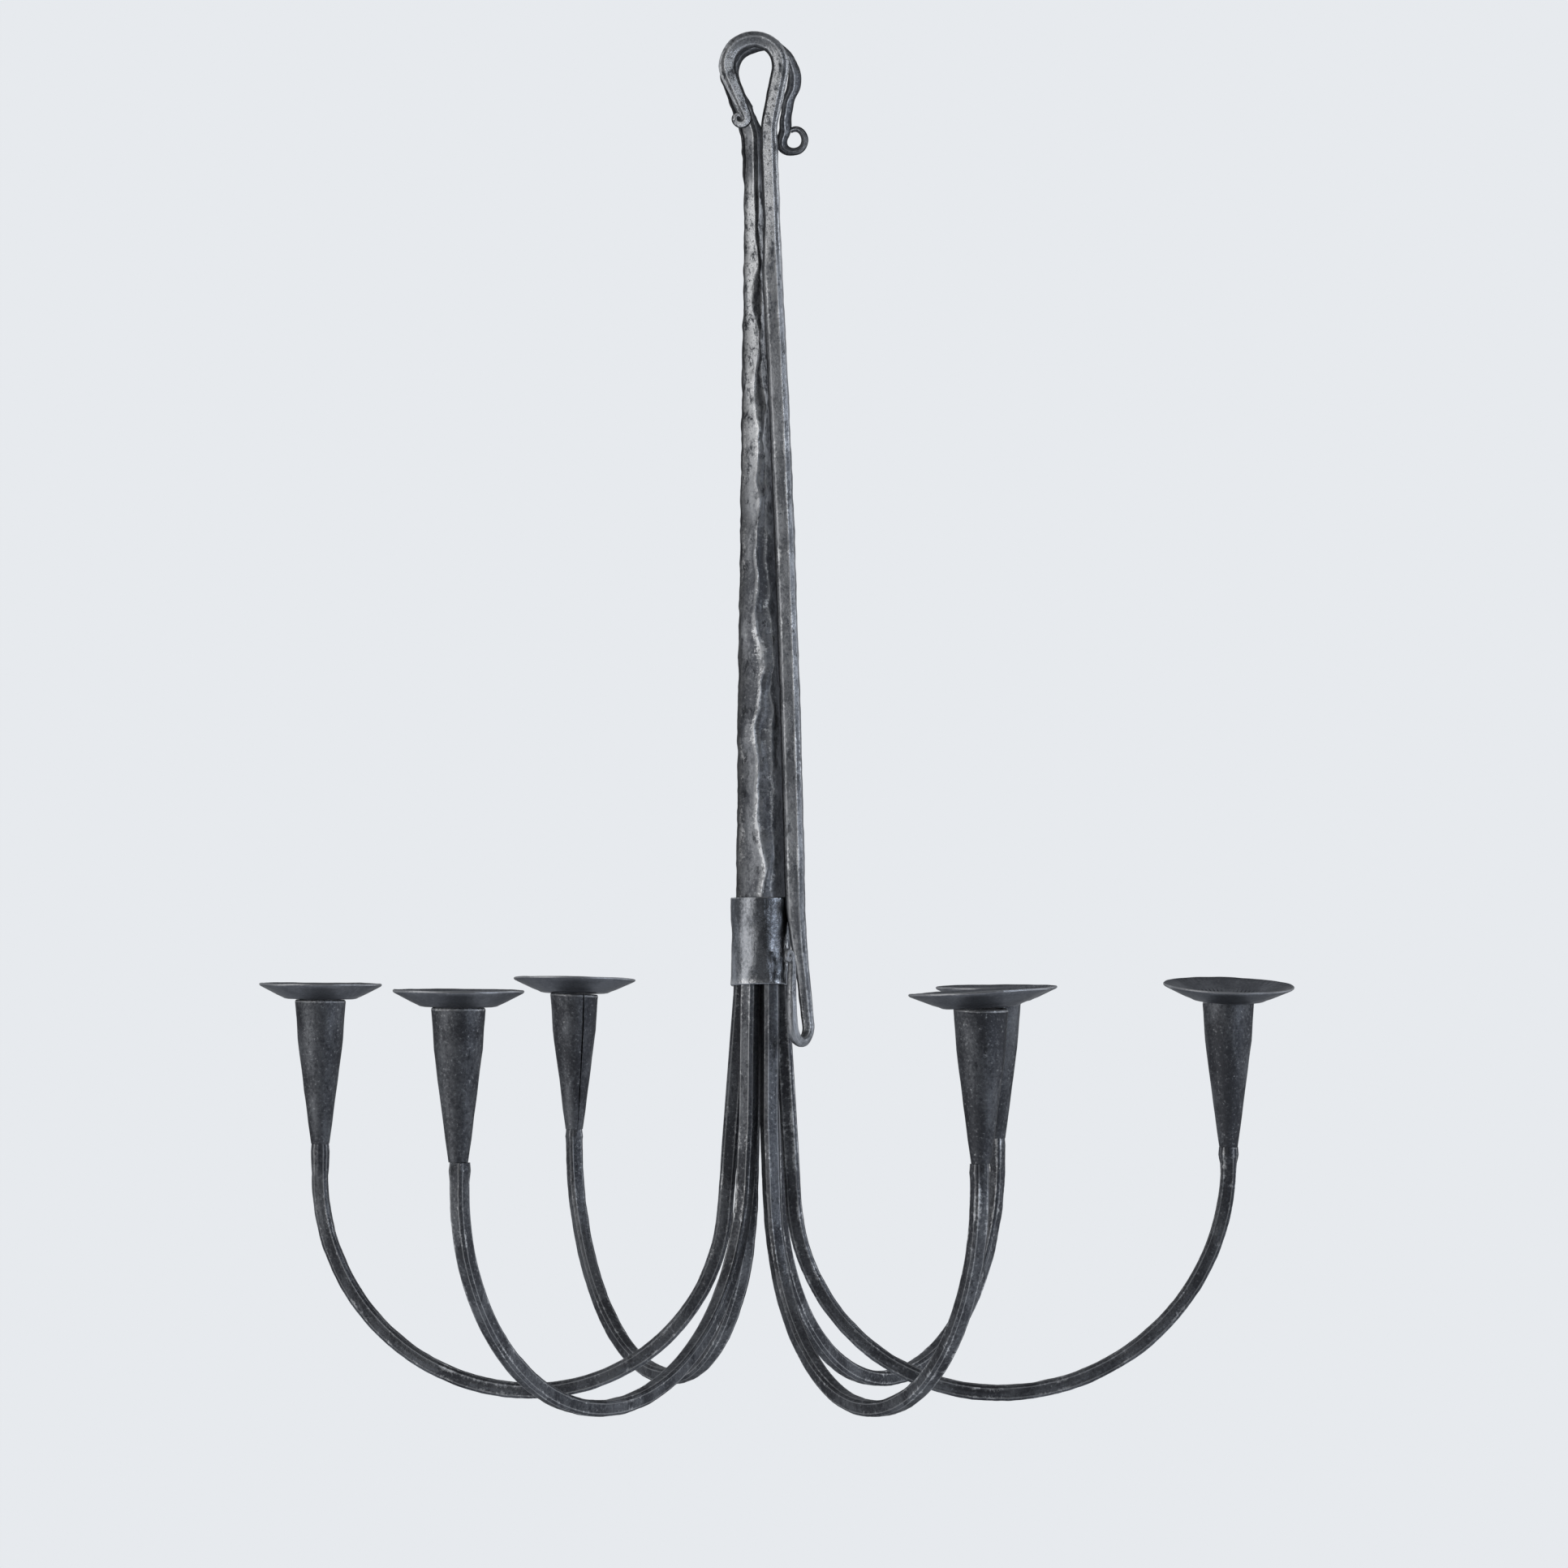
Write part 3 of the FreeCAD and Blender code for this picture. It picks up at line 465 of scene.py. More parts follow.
def iron(name, kind, patch, pits, specks, rub, rough, bump, rim_shade, heights=NOWHERE):
    """Iron with patches of scale, pits, a fine sparkling grain, bright worn edges and sides painted dark as shade.

    kind names the finish's grey and dark, and patch is the size of the patches in millimetres.
    pits and specks are shares of pitting and of sparkle. rub is the least reach at
    which an edge is rubbed and the reach at which it is rubbed bright.
    rough holds the roughness of dark and of main iron, and cleaned and worn iron is smoother. From
    the first to the second of the heights the iron goes over from plain to cleaned, bright and
    pitted, and from the third to the last back again."""
    made = bpy.data.materials.get(name)
    if made:
        return made
    look = bpy.context.scene.chandelier_finish
    main, dark, bright = (getattr(look, tone) for tone in (f"{kind}_grey", f"{kind}_dark", "worn_bright"))
    material = bpy.data.materials.new(name)
    material.use_nodes = True
    tree = material.node_tree
    tree.nodes.clear()
    ramp = partial(spread, tree)
    slope = partial(spread, tree, smooth=False)

    def noise(size, detail, roughness, where):
        """Noise whose features are a size in millimetres."""
        return add(tree, "ShaderNodeTexNoise", {"Vector": where, "Scale": 1.0 / (size * MM), "Detail": detail,
                                                "Roughness": roughness}).outputs["Fac"]

    def maths(operation, *parts):
        return add(tree, "ShaderNodeMath", dict(enumerate(parts)), operation=operation).outputs[0]

    def blend(share, under, over):
        return add(tree, "ShaderNodeMix", {0: share, 6: under, 7: over}, data_type="RGBA").outputs[2]

    def mark(attribute):
        return add(tree, "ShaderNodeAttribute", attribute_name=attribute).outputs["Fac"]

    place = add(tree, "ShaderNodeTexCoord").outputs["Object"]
    # Marks along the bars are drawn out to twice their width
    drawn = add(tree, "ShaderNodeMapping", {"Vector": place, "Scale": (1.0, 1.0, 0.5)}).outputs[0]
    height = add(tree, "ShaderNodeSeparateXYZ", {0: place}).outputs["Z"]
    rise_from, rise_to, fall_from, fall_to = heights
    upper = maths("MULTIPLY", ramp(height, rise_from, rise_to), ramp(height, fall_to, fall_from))
    patches = noise(patch, 5.0, 0.6, drawn)
    # The real grain is about 0.2 mm, finer than a pixel, so it is drawn at 1.5 mm
    grain = noise(1.5, 4.0, 0.75, place)
    spotting = noise(1.8, 4.0, 0.8, place)
    pitting = noise(4.0, 6.0, 0.75, drawn)
    rubbing = slope(noise(12.0, 6.0, 0.72, drawn), 0.3, 0.7, 0.1, 0.9)
    edge = mark("edge")

    # Patches of scale under a fine grain
    share = maths("ADD", ramp(patches, 0.36, 0.64), slope(grain, 0.3, 0.7, -0.6, 0.6))
    finish = blend(share, shade(dark), shade(main))
    # Cleaned iron with dark spots left in it
    cleaned = maths("MULTIPLY", ramp(pitting, 0.42, 0.5), upper)
    finish = blend(cleaned, finish, shade(bright))
    spotted = maths("MULTIPLY", ramp(spotting, 0.46, 0.38, 0.0, 0.85), upper)
    finish = blend(spotted, finish, shade(dark, 0.4))
    pitted = ramp(pitting, 0.43, 0.35, 0.0, pits)
    finish = blend(pitted, finish, shade(dark, 0.3))
    # The flattened corners stay dark beside cleaned faces
    corners = ramp(maths("MULTIPLY", mark("facet"), upper), 0.1, 0.6, 0.0, 0.85)
    finish = blend(corners, finish, shade(dark, 0.5))
    # Edges rubbed bright with ragged bounds, sparkling specks, and a faint line along every edge
    ragged = slope(grain, 0.3, 0.7, -0.25, 0.25)
    reach = maths("ADD", maths("MULTIPLY_ADD", edge, 0.6, rubbing), ragged)
    worn = ramp(reach, *rub, 0.0, 0.95)
    worn = maths("MAXIMUM", worn, ramp(grain, 0.6, 0.72, 0.0, specks))
    worn = maths("MAXIMUM", worn, ramp(edge, 0.7, 1.0, 0.0, 0.3))
    finish = blend(worn, finish, shade(bright))
    # Painted shade: marked sides are darkened to a quarter of the dark tone, standing in for the shadow between
    # the stem and the hanger rod
    finish = blend(mark("soot"), finish, shade(dark, 0.25))

    roughness = slope(share, 0.0, 1.0, *rough)
    roughness = maths("MULTIPLY_ADD", cleaned, -0.12, roughness)
    roughness = maths("MULTIPLY_ADD", worn, -0.06, roughness)
    relief = maths("MULTIPLY_ADD", grain, 0.9, patches)
    relief = maths("MULTIPLY_ADD", pitted, -0.5, relief)
    relief = maths("MULTIPLY_ADD", maths("MULTIPLY", spotting, upper), 1.2, relief)
    relief = add(tree, "ShaderNodeBump", {"Height": relief, "Strength": bump, "Distance": 0.6 * MM}).outputs[0]
    shader = add(tree, "ShaderNodeBsdfPrincipled", {
        "Metallic": 1.0, "Base Color": finish, "Roughness": roughness, "Normal": relief,
        "Specular Tint": shade((rim_shade,) * 3),
    })
    add(tree, "ShaderNodeOutputMaterial", {"Surface": shader.outputs[0]})
    return material


def bare_forged_iron():
    """Iron forged and left bare: fine grey grain, ridges rubbed bright, and mottled silver near the hook."""
    return iron("bare_forged_iron", "bare",
                patch=14.0, pits=0.7, specks=0.35, rub=(1.05, 1.3), rough=(0.46, 0.36), bump=0.6, rim_shade=0.6,
                heights=(-0.26, -0.12, -0.08, -0.06))


def brushed_forged_iron():
    """Bar forged and brushed clean: paler than the stem, with a dark skin left in the pits of its hook."""
    return iron("brushed_forged_iron", "rod",
                patch=10.0, pits=0.75, specks=0.3, rub=(1.0, 1.4), rough=(0.4, 0.3), bump=0.7, rim_shade=0.5,
                heights=(-0.16, -0.06, -0.008, 0.004))


def hammered_band_iron():
    """Band hammered on and rubbed smooth: clear but wavy reflections."""
    return iron("hammered_band_iron", "collar",
                patch=16.0, pits=0.2, specks=0.2, rub=(0.95, 1.35), rough=(0.15, 0.09), bump=0.32, rim_shade=0.4)


def fire_blackened_iron():
    """Iron blackened in the fire: dark graphite with sooted patches, fine sparkle and a few bright worn edges."""
    return iron("fire_blackened_iron", "black",
                patch=18.0, pits=0.45, specks=0.4, rub=(0.95, 1.55), rough=(0.44, 0.33), bump=0.5, rim_shade=0.5)


def scaled_sheet_iron():
    """Sheet with an even scale from the fire: satin grey with a fine grain."""
    return iron("scaled_sheet_iron", "pan",
                patch=24.0, pits=0.1, specks=0.06, rub=(0.8, 2.2), rough=(0.4, 0.34), bump=0.2, rim_shade=0.5)


class CHANDELIER_OT_stem(bpy.types.Operator):
    """Tapering stem with its pear-shaped hook and open scroll"""

    bl_idname = "chandelier.stem"
    bl_label = "Forge the stem"

    def execute(self, context):
        sizes = context.scene.chandelier_bars
        top = -sizes.arm_top
        # The neck is forged thicker than its plain size
        neck = sizes.stem_neck * 1.1
        neck_top = -0.046
        # Side, distance to the right of the axis, and height of each station of the taper
        stations = [
            (sizes.stem_foot, 0.00015, top),
            (sizes.stem_waist, 0.00015, -0.340),
            (sizes.stem_middle, -0.00187, -0.205),
            (neck, -0.0038, -0.062),
            (neck, -0.0040, neck_top),
        ]
        # Plan directions, in degrees, of the front ridge and of the one beside it
        front_way, beside_way = -92.0, -64.0
        side, across, height = stations[0]
        # Painted shade: the right side, which faces the hanger rod, and the far left edge are painted dark as
        # shadow
        bar = ForgedBar("forged_stem", (across, 0, height), UP, side, side * sizes.stem_edge, sizes.stem_turn,
                        ridge=front_way, shaded_sides=((-15.0, 0.85, 0.98), (-168.0, 0.9, 0.98)))
        pace = 0.005
        for side, across, height in stations[1:]:
            steps = math.ceil((height - bar.place.z) / pace)
            start = Vector(bar.place)
            start_side = bar.side
            for count in range(1, steps + 1):
                share = count / steps
                goal = start.lerp(Vector((across, 0, height)), share)
                bar.step(goal - bar.place, start_side + (side - start_side) * share)

        # Hook, with a falling leg that is drawn out into an open scroll
        lean = math.degrees(sizes.hook_lean)
        heel = 0.014
        crown_fall = sizes.hook_radius - sizes.hook_bar / 2 + sizes.hook_radius * math.sin(sizes.hook_lean)
        lean_run = (-neck_top - heel * math.sin(sizes.hook_lean) - crown_fall) / math.cos(sizes.hook_lean)
        bar.follow([(heel, lean, 1), (lean_run,), (sizes.hook_radius, 180 + lean, -1)],
                   end_side=sizes.hook_bar, pace=0.004)
        bar.follow([(sizes.hook_radius, 12, -1), (0.030,)], end_side=0.005)
        bar.follow([(0.0061, 192, 1), (0.0056, 128, 1)], end_side=0.0027, pace=0.003, rounding=0.002)

        # Round core among the arms inside the collar
        bar.take_first_face(DOWN, sizes.stem_foot)
        core = 0.0113
        bar.step(Vector((-stations[0][1], 0, 0)), core)
        bpy.ops.transform.tosphere(value=1.0)
        bar.step(Vector((0, 0, -sizes.arm_grip)), core)
        stem = bar.piece
        close_up()
        refine(stem, 2)

        def shank(point):
            """1 on the shank, fading out on the collar and towards the hook."""
            return min((point.z - top) / 0.02, (-0.07 - point.z) / 0.04)

        def toward(point, way, left, right):
            """How near a point of the shank lies to a plan direction, falling off to the left and to the right."""
            low, high = next(pair for pair in zip(stations, stations[1:])
                             if point.z <= pair[1][2] or pair[1] is stations[-1])
            share = (point.z - low[2]) / (high[2] - low[2])
            off = math.degrees(math.atan2(point.y, point.x - low[1] - share * (high[1] - low[1]))) - way
            return shank(point) * (1 + off / left if off < 0 else 1 - off / right)

        def mottled(point, edge):
            """1 on the upper shank, where small round blows lie close together."""
            return min((point.z + 0.30) / 0.06, (-0.03 - point.z) / 0.01)

        hammer(stem, "ridges", lambda point, edge: edge ** 2 * shank(point),
               size=0.009, depth=0.0014, middle=0.6)
        # Uneven blows moved the front ridge and the one beside it from side to side
        hammer(stem, "front", lambda point, edge: toward(point, front_way, 62.0, 28.0),
               size=0.030, depth=0.010, middle=0.5, direction="X")
        hammer(stem, "beside", lambda point, edge: toward(point, beside_way, 28.0, 60.0),
               size=0.018, depth=0.005, middle=0.5, direction="X")
        hammer(stem, "faces", lambda point, edge: (point.z - top) / 0.02, size=0.024, depth=0.0007)
        hammer(stem, "upper", mottled, size=0.010, depth=0.0006, pattern="VORONOI")
        settle(stem, "frame", "stem", bare_forged_iron())
        return {"FINISHED"}


class CHANDELIER_OT_hanger_rod(bpy.types.Operator):
    """Hanger rod with its hook, small scroll and J-hook"""

    bl_idname = "chandelier.hanger_rod"
    bl_label = "Forge the hanger rod"

    def execute(self, context):
        sizes = context.scene.chandelier_bars
        eye = mount_place("rod_eye")
        radius = sizes.rod_hook_radius
        crown_drop = radius - sizes.rod_bar / 2
        lean = sizes.rod_lean
        bend = sizes.rod_neck_bend
        neck = 0.024
        # The foot is kicked out to the right from here
        kick = 0.0022
        foot_across = sizes.rod_foot - kick
        neck_across = eye[0] + radius * math.cos(lean) - neck * math.sin(lean) - bend * (1 - math.cos(lean))
        neck_drop = crown_drop + radius * math.sin(lean) + neck * math.cos(lean) + bend * math.sin(lean)
        across = foot_across - neck_across
        fall = sizes.rod_foot_drop - neck_drop
        shank = math.sqrt(across ** 2 + fall ** 2 - 4 * bend * across)
        slant = math.degrees(math.atan2(2 * bend, shank) - math.atan2(2 * bend - across, fall))
        lean = math.degrees(lean)
        # The rod stands forward, clear of the stem over its whole swing, and a touch low
        forward, lowered = 0.0010, 0.0003
        start = (eye[0] - radius, eye[1] - forward, -crown_drop - lowered)
        # Seen from the front the shank is turned a little to the left, and its left side, towards the stem, is
        # painted dark as shadow
        side = sizes.rod_bar * 1.06
        bar = ForgedBar("forged_hanger_rod", start, UP, side, sizes.rod_edge, math.radians(12),
                        ridge=-104.0, shaded_sides=((12.0, 0.45, 0.85),))
        drawn_out = 0.070
        bar.follow([(radius, 180 + lean, -1), (neck,), (bend, lean + slant, 1), (shank - drawn_out,)], pace=0.005)
        bar.follow([(drawn_out,), (bend, slant, -1)], end_side=0.0062, pace=0.005)

        # J-hook, bent out of the picture's plane, with a small curl
        foot = Vector(bar.place)
        bar.turn_about(foot, -sizes.rod_turn)
        bar.follow([(sizes.j_radius, 180, -1), (0.12, 12, -1)], end_side=0.0046, pace=0.003)
        bar.follow([(0.010,), (0.0027, 190, 1), (0.0016, 170, 1)], end_side=0.0022, pace=0.002)
        bar.turn_about(foot, sizes.rod_turn)

        # Falling leg of the hook, with its small scroll
        bar.take_first_face(DOWN, side)
        bar.follow([(radius, 23, 1), (0.0222,)], end_side=0.0056)
        bar.follow([(0.0030, 201, -1), (0.0016, 170, -1)], end_side=0.0024, pace=0.002, rounding=0.002)
        rod = bar.piece
        for height in (-0.440, -0.460):
            select_points(rod, lambda point: point.z < height)
            bpy.ops.transform.rotate(value=math.radians(2.05), orient_axis="Y",
                                     center_override=(foot_across, 0, height))
        close_up()
        refine(rod, 2)

        def left_side(point, edge):
            """1 on the left side of the shank, fading out towards its middle and its ends."""
            middle = foot_across - (point.z + sizes.rod_foot_drop) * math.tan(math.radians(slant))
            off = middle - point.x
            return min(off / 0.004, (0.0065 - off) / 0.001, (point.z + 0.470) / 0.03, (-0.09 - point.z) / 0.03)

        # The shank is broader on its left, and bowed a little to the right
        push(rod, "broad", left_side, -0.0018)
        push(rod, "bowed", lambda point, edge: 1.0 - ((point.z + 0.27) / 0.17) ** 2, 0.0014)
        hammer(rod, "ridges", lambda point, edge: edge ** 2, size=0.009, depth=0.0006)
        hammer(rod, "faces", lambda point, edge: 1.0, size=0.018, depth=0.0005)
        settle(rod, "hanger", "hanger_rod", brushed_forged_iron())
        return {"FINISHED"}


class CHANDELIER_OT_collar(bpy.types.Operator):
    """Collar wrapped round the bundle"""

    bl_idname = "chandelier.collar"
    bl_label = "Wrap the collar"

    def execute(self, context):
        sizes = context.scene.chandelier_sheet
        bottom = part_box("collar")[0][2]
        tall, bore, outside = sizes.collar_height, sizes.collar_bore, sizes.collar_outside
        waist = outside - sizes.collar_waist
        # Width and height of the eased corners, height of the rims' bands, and the easing into the waist
        eased, eased_up, band, drawn_in = 0.0004, 0.0005, 0.0013, 0.0002
        points = [
            (bore, 0.0), (outside - eased, 0.0), (outside, eased_up), (outside, band),
            (outside - drawn_in, tall * 0.2), (waist, tall * 0.4), (waist, tall * 0.65),
            (outside - drawn_in, tall * 0.85), (outside, tall - band), (outside, tall - eased_up),
            (outside - eased, tall), (bore, tall),
        ]
        collar = outline_face("wrapped_collar", (0, 0, bottom), points, worn=(1, 2, 9, 10))
        # The ends of the band meet in a seam at the back
        bpy.ops.mesh.spin(steps=72, angle=math.radians(359.4), center=(0, 0, bottom), axis=(0, 0, 1))
        # The band was cut a little askew, so its rims run down to the right
        for rim, askew in ((bottom, 4.0), (bottom + tall, 2.0)):
            select_points(collar, lambda point: abs(point.z - rim) < RIM_REACH)
            tilt_about((0, 0, rim), askew, 0.0)
        close_up()
        turn_piece(math.radians(90), (0, 0, 0))
        refine(collar, 2)
        hammer(collar, "outer", lambda point, edge: (point.xy.length - bore - 0.0002) / 0.0005,
               size=0.012, depth=0.0010, middle=0.5)
        hammer(collar, "outer", None, size=0.004, depth=0.0003, middle=0.5)
        # Painted highlight: the band is painted bright on the right of the front, through the attribute edge that
        # also marks its worn rims
        highlight_way, highlight_reach = -38, 30
        for point, mark in zip(collar.data.vertices, collar.data.attributes["edge"].data):
            way = math.degrees(math.atan2(point.co.y, point.co.x))
            mark.value = max(mark.value, 1.0 - abs(way - highlight_way) / highlight_reach)
        settle(collar, "frame", "collar", hammered_band_iron())
        return {"FINISHED"}


class CHANDELIER_OT_arms(bpy.types.Operator):
    """Six bent arms, bundled under the collar"""

    bl_idname = "chandelier.arms"
    bl_label = "Forge the arms"

    def execute(self, context):
        sizes = context.scene.chandelier_bars
        grip_end = -sizes.arm_top - sizes.arm_grip
        for number in ARM_NUMBERS:
            slot = sizes.bundle_direction + math.radians(60) * PLAN_ORDER.index(number)
            start = Vector((math.cos(slot), math.sin(slot), 0)) * sizes.bundle_radius
            socket = Vector(mount_place(f"candle_{number}"))
            beyond = Vector((socket.x, socket.y, 0)) - start
            plane = math.atan2(beyond.y, beyond.x)
            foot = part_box(f"candle_socket_{number}")[0][2]
            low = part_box(f"arm_{number}")[0][2] + sizes.arm_bar / 2
            splay = math.radians(sizes.splay[number - 1])
            bow = sizes.bow[number - 1]
            fall = grip_end - low - sizes.splay_bend * math.sin(splay) - bow * (1 - math.sin(splay))
            lean_run = fall / math.cos(splay)
            bent_out = sizes.splay_bend * (1 - math.cos(splay)) + bow * math.cos(splay)
            across = beyond.length - bent_out - lean_run * math.sin(splay)
            rise = foot - low
            rise_bend = min(across - sizes.level_run, rise - sizes.upright_run)
            bar = ForgedBar(f"forged_arm_{number}", (0, 0, -sizes.arm_top), DOWN, sizes.arm_bar, sizes.arm_edge,
                            slot - plane)
            bar.follow([
                (sizes.arm_grip,),
                (sizes.splay_bend, sizes.splay[number - 1], 1),
                (lean_run,),
                (bow, 90 - sizes.splay[number - 1], 1),
                (across - rise_bend,),
                (rise_bend, 90, 1),
            ])
            # An arm swells towards its socket, and its tip draws in under the socket's foot
            swell = 1.14 if number in (2, 6) else 1.08
            tip = 0.004
            bar.follow([(rise - rise_bend - tip,)], end_side=sizes.arm_bar * swell, pace=0.002, rounding=0.026)
            bar.follow([(tip,)], end_side=sizes.arm_bar * (swell - 0.08), pace=0.001, rounding=0.005)
            arm = bar.piece
            close_up()
            turn_piece(plane, (0, 0, 0))
            bpy.ops.transform.translate(value=start)
            bpy.ops.object.transform_apply()
            refine(arm, 2)

            def hammered(point):
                """0 inside the collar and in the bundle down to the height of the sockets' feet, 1 beyond."""
                near_socket = 0.10 - (point - socket).xy.length
                return min((grip_end - point.z) / 0.03, max(foot - point.z, near_socket) / 0.02)

            hammer(arm, "ridges", lambda point, edge: edge ** 2 * hammered(point), size=0.010, depth=0.0007)
            hammer(arm, "faces", lambda point, edge: hammered(point), size=0.022, depth=0.0004)
            if number in (2, 4):
                # The two front arms bow a little towards each other under the collar
                push(arm, "bowed", lambda point, edge: 1.0 - abs(point.z + 0.548) / 0.06,
                     math.copysign(0.0011, -start.x))
            settle(arm, "frame", f"arm_{number}", fire_blackened_iron())
        return {"FINISHED"}


class CHANDELIER_OT_sockets(bpy.types.Operator):
    """Rolled conical sockets with an open seam"""

    bl_idname = "chandelier.sockets"
    bl_label = "Roll the sockets"

    def execute(self, context):
        sizes = context.scene.chandelier_sheet
        for number in ARM_NUMBERS:
            x, y = mount_place(f"candle_{number}")[:2]
            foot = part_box(f"candle_socket_{number}")[0][2]
            tall = sizes.socket_length
            waist = tall - 0.02
            flare, rim = sizes.socket_waist, sizes.socket_rim
            bore, floor = sizes.candle_bore, sizes.socket_floor
            slope = (flare - sizes.socket_foot) / waist
            # Outside from the foot up to the rounded rim, then inside from the candle's bore down to the floor
            points = [(0.0, 0.0), (sizes.socket_foot - 0.0002, 0.0)]
            points += [(sizes.socket_foot + slope * height, height) for height in (0.011, 0.022, 0.033, 0.044)]
            points += [
                (flare, waist), (flare + 0.0006, waist + 0.01), (rim - 0.0002, tall - 0.0020),
                (rim - 0.0001, tall - 0.0012), (rim - 0.0003, tall - 0.0004), (rim - 0.0008, tall),
                (bore, tall), (bore, tall - 0.012), (flare - sizes.socket_wall, waist),
                (sizes.socket_foot + slope * floor - sizes.socket_wall, floor), (0.0, floor),
            ]
            axis_foot = (x, y, foot)
            socket = outline_face(f"rolled_socket_{number}", axis_foot, points, worn=(9, 10, 11))
            gap = sizes.socket_seam / rim
            bpy.ops.mesh.spin(steps=48, angle=math.tau - gap, center=axis_foot, axis=(0, 0, 1))
            mouth = Vector((x, y, foot + tall))
            select_points(socket, lambda point: point.z > mouth.z - RIM_REACH)
            tilt_about(mouth, sizes.tilt[number - 1], sizes.dip[number - 1])
            close_up()
            inwards = math.atan2(-y, -x)
            turn_piece(inwards - gap / 2, mouth)
            refine(socket, 1)

            def between_ends(point, edge):
                """1 on the wall, fading out at the foot and at the mouth."""
                return min((point.z - foot) / 0.02, (mouth.z - point.z) / 0.01)

            hammer(socket, "wall", between_ends, size=0.014, depth=0.0006)
            settle(socket, "frame", f"candle_socket_{number}", fire_blackened_iron())
        return {"FINISHED"}


class CHANDELIER_OT_pans(bpy.types.Operator):
    """Dished drip pans"""

    bl_idname = "chandelier.pans"
    bl_label = "Dish the drip pans"

    def execute(self, context):
        sizes = context.scene.chandelier_sheet
        base, rise, sheet = sizes.pan_base, sizes.pan_rise, sizes.pan_sheet
        # Play round the candle, and width and height of the rim's eased corners
        play, eased, eased_up = 0.0006, 0.0004, 0.0003
        hole = sizes.candle_bore + play
        for number in ARM_NUMBERS:
            x, y = mount_place(f"candle_{number}")[:2]
            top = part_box(f"candle_socket_{number}")[0][2] + sizes.socket_length
            mouth = Vector((x, y, top))
            seat = mouth + Vector((0, 0, sizes.pan_gap))
            rim = sizes.pan_radius[number - 1]
            # Underside from the flat base round a soft bend and up the slope, then the rim, then back on top
            under = [(base - 0.0015, 0.0), (base + 0.0002, 0.0003), (base + 0.0018, 0.0011)]
            under += [(base + (rim - base) * share, rise * share) for share in (0.3, 0.6, 0.96)]
            points = [(hole, 0.0)] + under
            points += [(rim, rise + eased_up), (rim, rise + sheet - eased_up), (rim - eased, rise + sheet)]
            points += [(radius, height + sheet) for radius, height in reversed(under)]
            points += [(hole, sheet)]
            pan = outline_face(f"dished_pan_{number}", seat, points, worn=(7, 8, 9))
            bpy.ops.mesh.spin(steps=64, angle=math.tau, center=seat, axis=(0, 0, 1))
            take_all()
            tilt_about(mouth, sizes.tilt[number - 1], sizes.dip[number - 1])
            close_up()
            refine(pan, 1)

            def on_slope(point, edge):
                """Rises from 0 at the base to 1 at the rim."""
                return ((point - seat).xy.length - base) / (rim - base)

            hammer(pan, "outer", on_slope, size=0.02, depth=0.0008, middle=0.5, direction="Z")
            settle(pan, f"pan_{number}", f"drip_pan_{number}", scaled_sheet_iron())
        return {"FINISHED"}


